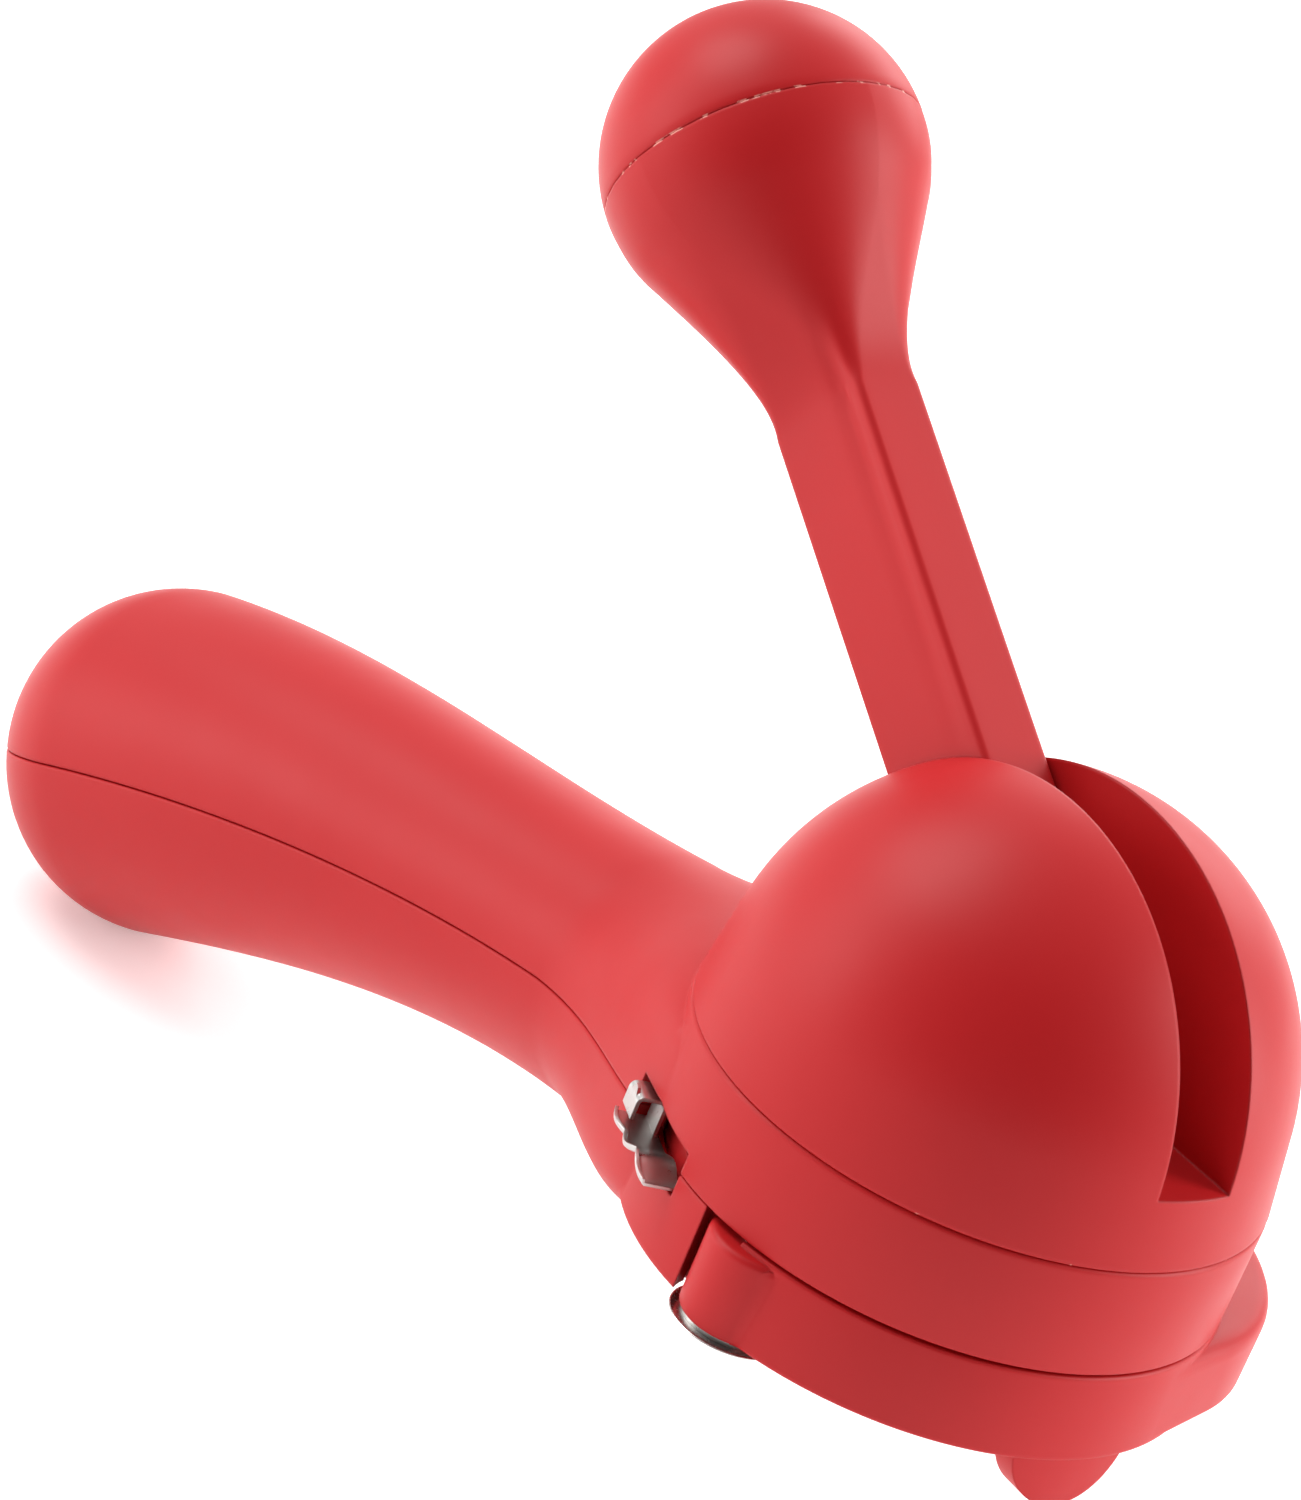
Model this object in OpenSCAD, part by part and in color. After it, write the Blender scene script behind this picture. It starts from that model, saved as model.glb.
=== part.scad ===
// Garlic press: a round head under a slotted dome, a bulb-ended handle and a ball-ended lever.
// The lever turns a shaft with two pinions, which drive a plunger down on two racks.
// A strainer ring under the head swings out sideways on a rivet for filling and cleaning.
// Origin: centre of the outlet, in the plane of its rim. +Z up, +X front, handle along -X.

/* [Head] */
// Radius of the round head where the dome meets it
head_r = 30; // [28:0.5:36]
// Height of the swing ring
ring_h = 9.3; // [8.5:0.1:12]
// Height of the fixed upper ring, from its underside to the seam under the dome
upper_h = 11.7; // [10.5:0.1:14]
// Wall of the moulded shells
wall = 2.2; // [1.8:0.1:2.6]

/* [Dome] */
// How far the foot of the dome flares out past its round part
dome_flare = 1; // [0.6:0.1:2]
// Height of the dome above the seam
dome_rise = 33.5; // [32:0.5:42]
// Width of the lever's slot through the dome
slot_w = 9.5; // [9.2:0.1:11.5]
// Wall of the trough that lines the slot
trough_wall = 1.6; // [1.2:0.1:2]

/* [Lever] */
// Height of the lever's pivot above the seam
pivot_rise = 13.8; // [12:0.1:16]
// Distance from the pivot to the centre of the ball
lever_len = 88.8; // [75:0.5:107]
// Width of the arm, seen from the side
lever_w = 13.4; // [11.5:0.1:15]
// Thickness of the arm, across the slot
lever_t = 8.5; // [7:0.1:8.7]
// Radius of the ball
ball_r = 16.8; // [14:0.2:20]
// Angle of the arm above the handle when it rests on its rear stop
rest_tilt = 32.4; // [28:0.2:40]
// Angle that the lever turns from its rear stop to its front stop
swing = 146; // [130:1:148]
// Length of the cone that blends the ball into the arm
flare_len = 19.8; // [16:0.2:23]

/* [Drive] */
// Radius of the steel drive shaft
shaft_r = 2; // [1.8:0.1:2.4]
// Number of teeth on each pinion
teeth = 12; // [12:1:14]
// Tooth module: pitch diameter over number of teeth
tooth_m = 0.75; // [0.7:0.05:0.8]
// Width of each pinion and rack
gear_w = 3; // [2.4:0.1:3.6]
// Thickness of the rack behind its teeth
rack_back = 2.6; // [2.2:0.1:3]

/* [Press chamber] */
// Bore radius of the chamber that the plunger slides in
chamber_r = 17; // [14:0.1:17.5]
// Wall of the chamber sleeve
sleeve_wall = 1.4; // [1:0.1:1.6]
// Thickness of the plunger's disc
plunger_t = 2.8; // [2.4:0.1:3]
// Thickness of the soft pressing face
face_t = 1.6; // [1.2:0.1:1.8]

/* [Swing ring] */
// Bearing of the ring's hinge, in degrees from +X towards +Y
hinge_az = -80; // [-84:1:-76]
// How far the hinge lies inside the head's radius
hinge_in = 3.6; // [3.2:0.1:4.2]
// Radius of the hinge boss
boss_r = 5.4; // [5:0.1:6.4]
// Radius of the hinge rivet's shank
rivet_r = 2.2; // [1.8:0.1:2.6]
// Radius of the outlet
outlet_r = 18; // [15:0.1:18.3]
// Thickness of the strainer plate
strainer_t = 0.8; // [0.6:0.1:1]
// Diameter of each hole in the strainer
hole_d = 1.7; // [1.4:0.1:2]
// Distance from one strainer hole to the next
hole_pitch = 3; // [2.7:0.1:3.6]
// Radius of the finger lip's outline
lip_r = 25; // [24:0.2:26]

/* [Handle] */
// Distance from the head's axis back to the centre of the bulb
bulb_back = 127.2; // [110:1:153]
// Depth of the bulb's centre below the head's underside
bulb_drop = 20.6; // [14:0.2:24]
// Radius of the bulb
bulb_r = 19.7; // [17:0.1:23.6]
// Half width of the handle at the neck
neck_r = 14.5; // [13:0.1:17]

/* [Fits] */
// Gap between faces of pieces that move past each other
gap = 0.3; // [0.2:0.05:0.4]
// Radial running clearance of a shaft in its bush
run = 0.05; // [0.03:0.01:0.08]
// Radial clearance between pieces fixed to each other
snug = 0.02; // [0.01:0.01:0.04]
// Backlash of the rack and pinion, measured along the pitch line
backlash = 0.2; // [0.14:0.02:0.26]

/* [Hidden] */
$fn = 96;

red = [0.84, 0.28, 0.27];
steel = [0.76, 0.76, 0.75];

// Heights up the head
split_z = ring_h + gap;
seam_z = split_z + upper_h;
pivot_z = seam_z + pivot_rise;
dome_r = head_r - dome_flare;
dome_cz = seam_z + dome_rise - dome_r;
flange_t = 2.4;
ledge_t = 2;
ledge_z = split_z + flange_t + 0.1;

// Gearing
pitch_r = tooth_m * teeth / 2;
pitch = PI * tooth_m;
pressure = 25;
addendum = 0.8 * tooth_m;
dedendum = tooth_m;
travel = pitch_r * swing * PI / 180;
cheek_y = slot_w / 2 + trough_wall;
bush_flange = 0.3;
gear_y = cheek_y + bush_flange + 0.15;
rack_x = pitch_r + dedendum + rack_back;
rack_top = dome_cz - 0.5
    + sqrt(pow(dome_r - wall, 2) - pow(rack_x, 2) - pow(gear_y + gear_w, 2));

// Plunger at rest, raised by its whole travel above its lowest place
face_z = split_z + 0.4 + travel;
disc_z = face_z + face_t;
disc_top = disc_z + plunger_t;
slide_fit = 0.1;

// Dome posts and their screws
post_r = 3;
post_ring = (head_r - wall + chamber_r + sleeve_wall) / 2 - 0.8;
post_az = [38, 142, 218, 322];
pilot_r = 1.2;

// Hinge of the swing ring
hinge_r = head_r - hinge_in;
hinge_x = hinge_r * cos(hinge_az);
hinge_y = hinge_r * sin(hinge_az);
hinge_lug_r = 4.4;
washer_t = 0.5;

// Swing ring
ring_draft = 0.6;
back_r = head_r - wall - 0.4;
bay_r = back_r + gap;
seat_r = outlet_r + 1.4;
strainer_z = ring_h - 1.8;
lip_x = 2.1;
lip_y = head_r - 17.7;
lip_end_az = 97;
// bearing of the line that touches both the ring and the lip
lip_meet_az = atan2(lip_y, lip_x) - acos((head_r - lip_r) / norm([lip_x, lip_y]));

// Neck and handle
root_az = 70;
neck_back = head_r + 18;
hollow_back = head_r + wall + 1.5;
neck_zc = split_z - 6.3;
neck_tilt = 11;
bulb_tilt = 23.5;
parting = 0.1;
screw_back = [neck_back + 14, neck_back + 46, bulb_back - 2];

// Cubic from a to b over t = 0..1, with end slopes ma and mb
function curve(a, b, ma, mb, t) =
    (2*pow(t, 3) - 3*pow(t, 2) + 1) * a + (pow(t, 3) - 2*pow(t, 2) + t) * ma
    + (3*pow(t, 2) - 2*pow(t, 3)) * b + (pow(t, 3) - pow(t, 2)) * mb;
function lerp(a, b, t) = a + (b - a) * t;
// 0 where the neck leaves the ring, then rising to 1 at its end
function drop(v) = max(0, (v - 0.06) / 0.94);
function neck_parting(v) = curve(split_z, neck_zc, -6, -5, drop(v));

// A station is [x, z of the parting, tilt, half width, height above, height below,
// roundness above, roundness below]
function neck_station(v) = [
    -lerp(head_r * cos(root_az), neck_back, v),
    neck_parting(v),
    neck_tilt * drop(v),
    curve(head_r * sin(root_az) - 0.8, neck_r, -6, -1, v),
    curve(seam_z, neck_zc + 13.1, 12, -7, v) - neck_parting(v),
    neck_parting(v) - curve(0, neck_zc - 15.3, -14.5, -7, v),
    2 + 5 * pow(1 - v, 2),
    7 - 5 * v];
function grip_r(t) = curve(neck_r, bulb_r, -4, 5, t);
function grip_station(t) = [
    -lerp(neck_back, bulb_back, t),
    curve(neck_zc, -bulb_drop, -16, -35, t),
    lerp(neck_tilt, bulb_tilt, t),
    grip_r(t),
    grip_r(t) - 1.4 * (1 - t),
    grip_r(t) + 0.8 * (1 - t),
    2, 2];
function bulb_station(w) = [
    -bulb_back - bulb_r * sin(w) * cos(bulb_tilt),
    -bulb_drop - bulb_r * sin(w) * sin(bulb_tilt),
    bulb_tilt, bulb_r * cos(w), bulb_r * cos(w), bulb_r * cos(w), 2, 2];
// Stations from the head to the end of the bulb, count of them on the neck and on the grip
function stations(neck, grip, tips) = concat(
    [for (i = [0:neck]) neck_station(i / neck)],
    [for (i = [1:grip]) grip_station(i / grip)],
    [for (w = tips) bulb_station(w)]);

// Half of a station's outline, above the parting if side is 1 and below it if side is -1,
// with its skin moved in by inset and its two ends carried past the parting by skirt
function power(c, n) = sign(c) * pow(abs(c), 2 / n);
function half_outline(s, side, inset, skirt, steps) = let (
    across = s[3] - inset,
    rise = side * ((side > 0 ? s[4] : s[5]) - inset),
    n = side > 0 ? s[6] : s[7],
    flat = concat(
        skirt > 0 ? [[across, -side * skirt]] : [],
        [for (i = [0:steps]) let (a = 180 * i / steps)
            [across * power(cos(a), n), rise * power(sin(a), n)]],
        skirt > 0 ? [[-across, -side * skirt]] : []))
    [for (p = side > 0 ? flat : [for (i = [len(flat) - 1:-1:0]) flat[i]])
        [s[0] - p[1] * sin(s[2]), p[0], s[1] + p[1] * cos(s[2])]];

// Mean of a list of points
function middle(ring) = [for (k = [0:2]) [for (p = ring) p[k]] * [for (p = ring) 1] / len(ring)];
// Solid through a list of rings of points, closed at both ends by a fan of triangles
module loft(rings) {
    n = len(rings[0]);
    m = len(rings);
    polyhedron(
        points = concat(
            [for (ring = rings) for (p = ring) p], [middle(rings[0])], [middle(rings[m - 1])]),
        faces = concat(
            [for (i = [0:n - 1]) [(i + 1) % n, i, m*n]],
            [for (i = [0:n - 1]) [(m - 1)*n + i, (m - 1)*n + (i + 1) % n, m*n + 1]],
            [for (j = [0:m - 2]) for (i = [0:n - 1])
                [(j + 1)*n + (i + 1) % n, (j + 1)*n + i, j*n + i]],
            [for (j = [0:m - 2]) for (i = [0:n - 1])
                [j*n + (i + 1) % n, (j + 1)*n + (i + 1) % n, j*n + i]]));
}

module half_handle(side, lift) {
    translate([0, 0, lift])
        loft([for (s = stations(9, 11, [12:12:84])) half_outline(s, side, 0, 0, 20)]);
}

// Hollow of half the handle, from behind the head to inside the bulb
module half_hollow(side) {
    inner = [for (s = stations(14, 9, [10:15:55])) if (-s[0] > hollow_back) s];
    loft([for (s = inner) half_outline(s, side, wall, 1, 16)]);
}

module at_polar(r, az) {
    translate([r * cos(az), r * sin(az), 0]) children();
}
module at_hinge(z) {
    translate([hinge_x, hinge_y, z]) children();
}

// Outside of the dome, its skin moved in by inset
module dome_profile(inset) {
    reach = norm([head_r, seam_z - dome_cz]);
    foot = atan2(seam_z - dome_cz, head_r) + acos(dome_r / reach) - 3;
    intersection() {
        union() {
            translate([0, dome_cz]) circle(r = dome_r - inset);
            polygon([[0, seam_z], [head_r - inset / cos(foot), seam_z],
                [(dome_r - inset) * cos(foot), dome_cz + (dome_r - inset) * sin(foot)],
                [0, dome_cz]]);
        }
        translate([0, seam_z]) square([2 * head_r, 2 * dome_rise]);
    }
}

// Side view of the space that the lever sweeps, with room all round it
module sweep_outline(room) {
    half = lever_w / 2 + room;
    far = 2 * head_r;
    rest = 180 - rest_tilt;
    translate([0, pivot_z]) {
        circle(r = half + 0.1);
        polygon([
            [0, 0],
            [half * sin(rest - swing), -half * cos(rest - swing)],
            [far * cos(rest - swing) + half * sin(rest - swing),
                far * sin(rest - swing) - half * cos(rest - swing)],
            [far, far],
            [-far, far],
            [far * cos(rest) - half * sin(rest), far * sin(rest) + half * cos(rest)],
            [-half * sin(rest), half * cos(rest)]]);
    }
}
module sweep(room, width) {
    translate([0, width / 2, 0]) rotate([90, 0, 0]) linear_extrude(width)
        sweep_outline(room);
}
slot_room = 0.4;
dome_gap = 0.15;
spigot_r = head_r - wall - 0.1;
spigot_depth = 4;

module dome_cover() color(red) difference() {
    union() {
        rotate_extrude() difference() {
            dome_profile(0);
            dome_profile(wall);
        }
        // spigot that centres the dome in the upper ring
        translate([0, 0, seam_z - spigot_depth]) difference() {
            cylinder(r = spigot_r, h = spigot_depth + 1);
            translate([0, 0, -1]) cylinder(r = spigot_r - 1.6, h = spigot_depth + 3);
        }
        // trough that lines the slot and carries the bushes
        intersection() {
            sweep(slot_room + trough_wall, 2 * cheek_y);
            rotate_extrude() dome_profile(wall / 2);
        }
        // posts for the screws that come up through the upper ring
        intersection() {
            for (az = post_az) at_polar(post_ring, az)
                translate([0, 0, ledge_z + ledge_t + 0.05]) cylinder(r = post_r, h = dome_rise);
            union() {
                rotate_extrude() dome_profile(wall / 2);
                cylinder(r = spigot_r - 0.5, h = seam_z + 1);
            }
        }
    }
    sweep(slot_room, slot_w);
    translate([0, 0, pivot_z]) rotate([90, 0, 0])
        cylinder(r = bush_r + snug, h = 2 * cheek_y + 1, center = true);
    for (az = post_az) at_polar(post_ring, az) translate([0, 0, ledge_z])
        cylinder(r = pilot_r, h = ledge_t + 10);
    // clear of the hinge lug and the racks
    at_hinge(0) cylinder(r = hinge_lug_r + gap, h = seam_z - 0.01);
    for (side = [-1, 1]) translate([0, side * (gear_y + gear_w / 2), pivot_z])
        cube([2 * (rack_x + 1), gear_w + 0.8, 2 * (shaft_r + 2)], center = true);
}

bush_r = shaft_r + 1.2;
module bush(side) color("gold") translate([0, 0, pivot_z]) rotate([side * -90, 0, 0])
    difference() {
        union() {
            translate([0, 0, slot_w / 2]) cylinder(r = bush_r, h = trough_wall);
            translate([0, 0, cheek_y]) cylinder(r = bush_r + 0.9, h = bush_flange);
        }
        cylinder(r = shaft_r + run, h = 3 * cheek_y);
    }
module bush_left() { bush(-1); }
module bush_right() { bush(1); }

// Ring wall, ledge and hinge lug of the upper shell
module upper_shell() color(red) difference() {
    union() {
        difference() {
            union() {
                translate([0, 0, split_z]) cylinder(r = head_r, h = upper_h);
                half_handle(1, 0);
            }
            difference() {
                half_hollow(1);
                for (b = screw_back) translate([-b, 0, -60]) cylinder(r = 3, h = 100);
            }
            translate([0, 0, -2 * ring_h]) cylinder(r = head_r - wall, h = seam_z + 8 + 2 * ring_h);
            // room for the dome, which stands on the ring
            rotate_extrude() dome_profile(-dome_gap);
        }
        translate([0, 0, ledge_z]) difference() {
            cylinder(r = head_r - wall / 2, h = ledge_t);
            translate([0, 0, -1]) cylinder(r = chamber_r + sleeve_wall + snug, h = ledge_t + 2);
        }
        intersection() {
            at_hinge(split_z) cylinder(r = hinge_lug_r, h = seam_z - spigot_depth - split_z);
            cylinder(r = head_r - wall / 2, h = seam_z);
        }
    }
    for (az = post_az) at_polar(post_ring, az) translate([0, 0, ledge_z - 1])
        cylinder(r = pilot_r + 0.4, h = ledge_t + 2);
    at_hinge(split_z - 1) cylinder(r = rivet_r + snug, h = upper_h - 2);
    for (b = screw_back) translate([-b, 0, 0]) screw_pilot(b);
    detent_window();
}
// Height of the parting at a distance b behind the head's axis
function parting_z(b) = lookup(-b, [for (s = stations(9, 11, [])) [s[0], s[1]]]);
module screw_pilot(b) {
    translate([0, 0, parting_z(b) - 1]) cylinder(r = pilot_r, h = 9);
}

module lower_shell() color(red) difference() {
    union() {
        difference() {
            half_handle(-1, -parting);
            difference() {
                half_hollow(-1);
                for (b = screw_back) translate([-b, 0, -60]) cylinder(r = screw_boss_r, h = 100);
            }
        }
        // wall beside the swing ring, from the neck to the hinge boss
        intersection() {
            cylinder(r = head_r, h = split_z - parting);
            translate([-head_r * cos(root_az) - 1.5, -2 * head_r, -1]) cube([16, 1.6 * head_r, 2 * ring_h]);
        }
    }
    translate([0, 0, -2 * ring_h]) cylinder(r = bay_r, h = split_z + 2 * ring_h);
    at_hinge(-5) cylinder(r = boss_r + gap + 0.5, h = 3 * ring_h);
    for (b = screw_back) translate([-b, 0, 0]) {
        translate([0, 0, parting_z(b) - 60]) cylinder(r = pilot_r + 0.35, h = 70);
        translate([0, 0, parting_z(b) - 66]) cylinder(r = screw_head_r + 0.4, h = 66 - screw_grip);
    }
    detent_window();
}
screw_boss_r = 4.4;
screw_head_r = 2.4;
screw_grip = 5;
// Pan-head screw standing on z = 0 with its head below and its shank above
module screw(head_r, head_h, shank_r, length) {
    difference() {
        union() {
            translate([0, 0, -head_h]) cylinder(r1 = head_r * 0.82, r2 = head_r, h = head_h / 2);
            translate([0, 0, -head_h / 2]) cylinder(r = head_r, h = head_h / 2);
            translate([0, 0, -0.01]) cylinder(r = shank_r, h = length);
        }
        for (a = [0, 90]) rotate([0, 0, a]) translate([-head_r * 0.6, -0.3, -head_h - 1])
            cube([head_r * 1.2, 0.6, 1 + head_h * 0.55]);
    }
}
module shell_screws() color(steel)
    for (b = screw_back) translate([-b, 0, parting_z(b) - screw_grip])
        screw(screw_head_r, 1.8, pilot_r - snug, screw_grip + 6);
module dome_screws() color(steel)
    for (az = post_az) at_polar(post_ring, az) translate([0, 0, split_z + 1.5])
        screw(2.3, 1.3, pilot_r - snug, 11);

module chamber_sleeve() color(steel) difference() {
    union() {
        translate([0, 0, split_z + 0.1]) cylinder(r = chamber_r + sleeve_wall, h = disc_top - split_z - 0.1);
        translate([0, 0, split_z + 0.1]) cylinder(r = head_r - wall - 0.3, h = flange_t - 0.05);
    }
    translate([0, 0, split_z - 1]) cylinder(r = chamber_r, h = disc_top);
    at_hinge(split_z - 1) cylinder(r = hinge_lug_r + gap, h = upper_h);
    for (az = post_az) at_polar(post_ring, az) translate([0, 0, split_z - 1]) {
        cylinder(r = pilot_r + 0.3, h = 9);
        cylinder(r = 2.7, h = 2.5);
    }
    detent_window();
}

module pivot_rivet() color(steel) at_hinge(-washer_t) {
    cylinder(r = rivet_r, h = washer_t + split_z + upper_h - 4 - 1.2);
    intersection() {
        translate([0, 0, 11.4 - 1.9]) sphere(r = 11.4);
        translate([0, 0, -1.9]) cylinder(r = 6.3, h = 1.9);
    }
}
module rivet_washer() color(steel) at_hinge(-washer_t) difference() {
    cylinder(r = 5, h = washer_t);
    translate([0, 0, -1]) cylinder(r = rivet_r + snug, h = 3);
}

// Folded leaf spring that clicks into the ring's back and shows at the parting line
detent_az = -114;
detent_r = head_r + 1.4;
leaf_t = 0.5;
leaf_w = 13.5;
leaf_z = split_z - 2.4;
module at_detent() {
    at_polar(detent_r, detent_az) rotate([0, 0, detent_az + 90]) children();
}
module detent_window() {
    at_detent() translate([-leaf_w / 2 - 0.3, -6, leaf_z - 0.15]) cube([leaf_w + 0.6, 10.2, 4.9]);
}
module detent_spring() color(steel) at_detent() {
    translate([-leaf_w / 2, -0.4, leaf_z]) cube([leaf_w, 3.6, leaf_t]);
    translate([-leaf_w / 2, -0.4, leaf_z]) cube([leaf_w * 0.48, leaf_t, 4.5]);
    translate([-leaf_w / 2, -0.4, leaf_z + 4]) cube([leaf_w * 0.48, 3, leaf_t]);
    translate([-leaf_w / 2, 2.1, leaf_z]) cube([leaf_w * 0.48, leaf_t, 4.5]);
    translate([leaf_w * 0.1, -0.4, leaf_z]) rotate([0, 0, 8]) cube([leaf_w * 0.35, leaf_t, 2.2]);
}

// Places something made along +X from the pivot on the lever at rest
module on_lever() {
    translate([0, 0, pivot_z]) rotate([0, rest_tilt - 180, 0]) children();
}
// Shaft with a flat on it, used for the shaft and for the holes that it drives
module drive_form(r, flat, length) {
    difference() {
        rotate([90, 0, 0]) cylinder(r = r, h = length, center = true);
        translate([flat, -length, -r - 1]) cube([r, 2 * length, 2 * r + 2]);
    }
}
flat_x = shaft_r - 0.4;

// Section of the blend between the ball, at u = 0, and the arm, at u = 1
flare_start = 0.49 * ball_r;
sink = 0.15;
function flare_ring(u, sides) =
    let (
        ease = u * u * (3 - 2 * u),
        ball_half = sqrt(pow(ball_r, 2) - pow(flare_start, 2)) - sink,
        half_w = curve(ball_half, lever_w / 2 - sink, -0.5 * flare_len, 0, u),
        half_t = curve(ball_half, lever_t / 2 - sink, -0.5 * flare_len, 0, u),
        n = 2 + 6 * ease)
    [for (i = [0:sides - 1]) let (a = 360 * i / sides)
        [lever_len - flare_start - flare_len * u,
            half_t * power(cos(a), n), half_w * power(sin(a), n)]];
module lever_arm() color(red) on_lever() difference() {
    union() {
        rotate([90, 0, 0]) cylinder(r = lever_w / 2, h = lever_t, center = true);
        translate([0, -lever_t / 2, -lever_w / 2])
            cube([lever_len - flare_start - 0.7 * flare_len, lever_t, lever_w]);
        loft([for (i = [0:12]) flare_ring(i / 12, 48)]);
        intersection() {
            translate([lever_len, 0, 0]) sphere(r = ball_r);
            translate([lever_len - 2 * ball_r, -2 * ball_r, -2 * ball_r])
                cube([2 * ball_r - 0.05, 4 * ball_r, 4 * ball_r]);
        }
    }
    drive_form(shaft_r + snug, flat_x + snug, 2 * lever_t);
    translate([lever_len - cap_plug - 0.3, 0, 0]) rotate([0, 90, 0])
        cylinder(r = cap_plug_r + snug, h = 2 * cap_plug);
    translate([lever_len - cap_plug - 6, 0, 0]) rotate([0, 90, 0])
        cylinder(r = cap_plug_r - 3.5, h = 2 * cap_plug);
}
cap_plug = 4;
cap_plug_r = ball_r - 5.8;
module ball_cap() color(red) on_lever() translate([lever_len, 0, 0]) {
    rotate([0, 90, 0]) rotate_extrude() difference() {
        circle(r = ball_r);
        circle(r = ball_r - wall);
        translate([-2 * ball_r, -4 * ball_r + 0.05]) square([4 * ball_r, 4 * ball_r]);
        translate([-2 * ball_r, -2 * ball_r]) square([2 * ball_r, 4 * ball_r]);
    }
    rotate([0, 90, 0]) rotate_extrude() difference() {
        translate([cap_plug_r - 1.6, -cap_plug]) square([1.6, cap_plug + ball_r]);
        difference() {
            square(2 * ball_r);
            circle(r = ball_r - wall / 2);
        }
    }
}

shaft_half = gear_y + gear_w + 1.4;
module drive_shaft() color(steel) on_lever() difference() {
    drive_form(shaft_r, flat_x, 2 * shaft_half);
    for (side = [-1, 1]) translate([0, side * (gear_y + gear_w + 0.45), 0]) rotate([90, 0, 0])
        difference() {
            cylinder(r = shaft_r + 1, h = 0.56, center = true);
            cylinder(r = shaft_r - 0.5, h = 1, center = true);
        }
}
module shaft_clips() color(steel) translate([0, 0, pivot_z])
    for (side = [-1, 1]) translate([0, side * (gear_y + gear_w + 0.45), 0]) rotate([90, 0, 0])
        difference() {
            cylinder(r = shaft_r + 0.9, h = 0.5, center = true);
            cylinder(r = shaft_r - 0.48, h = 1, center = true);
            translate([-1.1, 0.4, -1]) cube([2.2, shaft_r + 2, 2]);
        }

// Involute pinion, one tooth pointing along +X
function involute(phi) = tan(phi) * 180 / PI - phi;
base_r = pitch_r * cos(pressure);
function flank_angle(r) =
    90 / teeth - backlash / 4 / pitch_r * 180 / PI + involute(pressure)
    - involute(acos(min(1, base_r / r)));
module gear_outline() {
    root_r = pitch_r - dedendum;
    radii = [for (i = [0:4]) lerp(base_r, pitch_r + addendum, i / 4)];
    polygon([for (k = [0:teeth - 1]) let (c = 360 * k / teeth) for (p = concat(
        [[root_r, -flank_angle(base_r)]],
        [for (r = radii) [r, -flank_angle(r)]],
        [for (i = [4:-1:0]) [radii[i], flank_angle(radii[i])]],
        [[root_r, flank_angle(base_r)]]))
        p[0] * [cos(c + p[1]), sin(c + p[1])]]);
}
module pinion(side) color("gray") translate([0, side * (gear_y + gear_w / 2), 0]) difference() {
    translate([0, gear_w / 2, pivot_z]) rotate([90, 0, 0]) linear_extrude(gear_w) gear_outline();
    on_lever() drive_form(shaft_r + snug, flat_x + snug, 2 * gear_w);
}
module pinion_left() { pinion(-1); }
module pinion_right() { pinion(1); }

// Rack with its teeth towards -X, a gap level with the pinion's axis, and a foot on the plunger
foot_t = 1.8;
module rack_outline() {
    slope = tan(pressure);
    half = pitch / 4 - backlash / 4;
    count = floor((rack_top - pivot_z) / pitch - 0.9);
    polygon(concat(
        [[rack_x, disc_top], [rack_x, rack_top], [pitch_r + dedendum, rack_top]],
        [for (k = [count:-1:-2]) let (z = pivot_z + (k + 0.5) * pitch) for (p = [
            [dedendum, half + dedendum * slope], [-addendum, half - addendum * slope],
            [-addendum, addendum * slope - half], [dedendum, -half - dedendum * slope]])
            [pitch_r + p[0], z + p[1]]],
        [[pitch_r + dedendum, disc_top]]));
}
module rack(side) color("gray") difference() {
    union() {
        translate([0, side * (gear_y + gear_w / 2) + gear_w / 2, 0]) rotate([90, 0, 0])
            linear_extrude(gear_w) rack_outline();
        translate([rack_x - 10.5, side * (gear_y + gear_w / 2) - gear_w / 2, disc_top])
            cube([10.5, gear_w, foot_t]);
    }
    for (dx = rack_screw_dx) translate([rack_x + dx, side * (gear_y + gear_w / 2), disc_top - 1])
        cylinder(r = 0.8, h = foot_t);
}
rack_screw_dx = [-8.6, -1.4];
module rack_left() { rack(-1); }
module rack_right() { rack(1); }
module rack_screws() color(steel)
    for (side = [-1, 1]) for (dx = rack_screw_dx)
        translate([rack_x + dx, side * (gear_y + gear_w / 2), disc_z + 1.1])
            screw(1.5, 1, 0.8 - snug, plunger_t - 1.1 + foot_t - 1.1);

module plunger() color("whitesmoke") difference() {
    translate([0, 0, disc_z]) cylinder(r = chamber_r - slide_fit, h = plunger_t);
    for (side = [-1, 1]) for (dx = rack_screw_dx)
        translate([rack_x + dx, side * (gear_y + gear_w / 2), disc_z - 1]) {
            cylinder(r = 0.8, h = 9);
            cylinder(r = 1.6, h = 2.1);
        }
}
module press_face() color("dimgray") {
    translate([0, 0, face_z]) cylinder(r = chamber_r - 2 * slide_fit, h = face_t);
}

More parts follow.
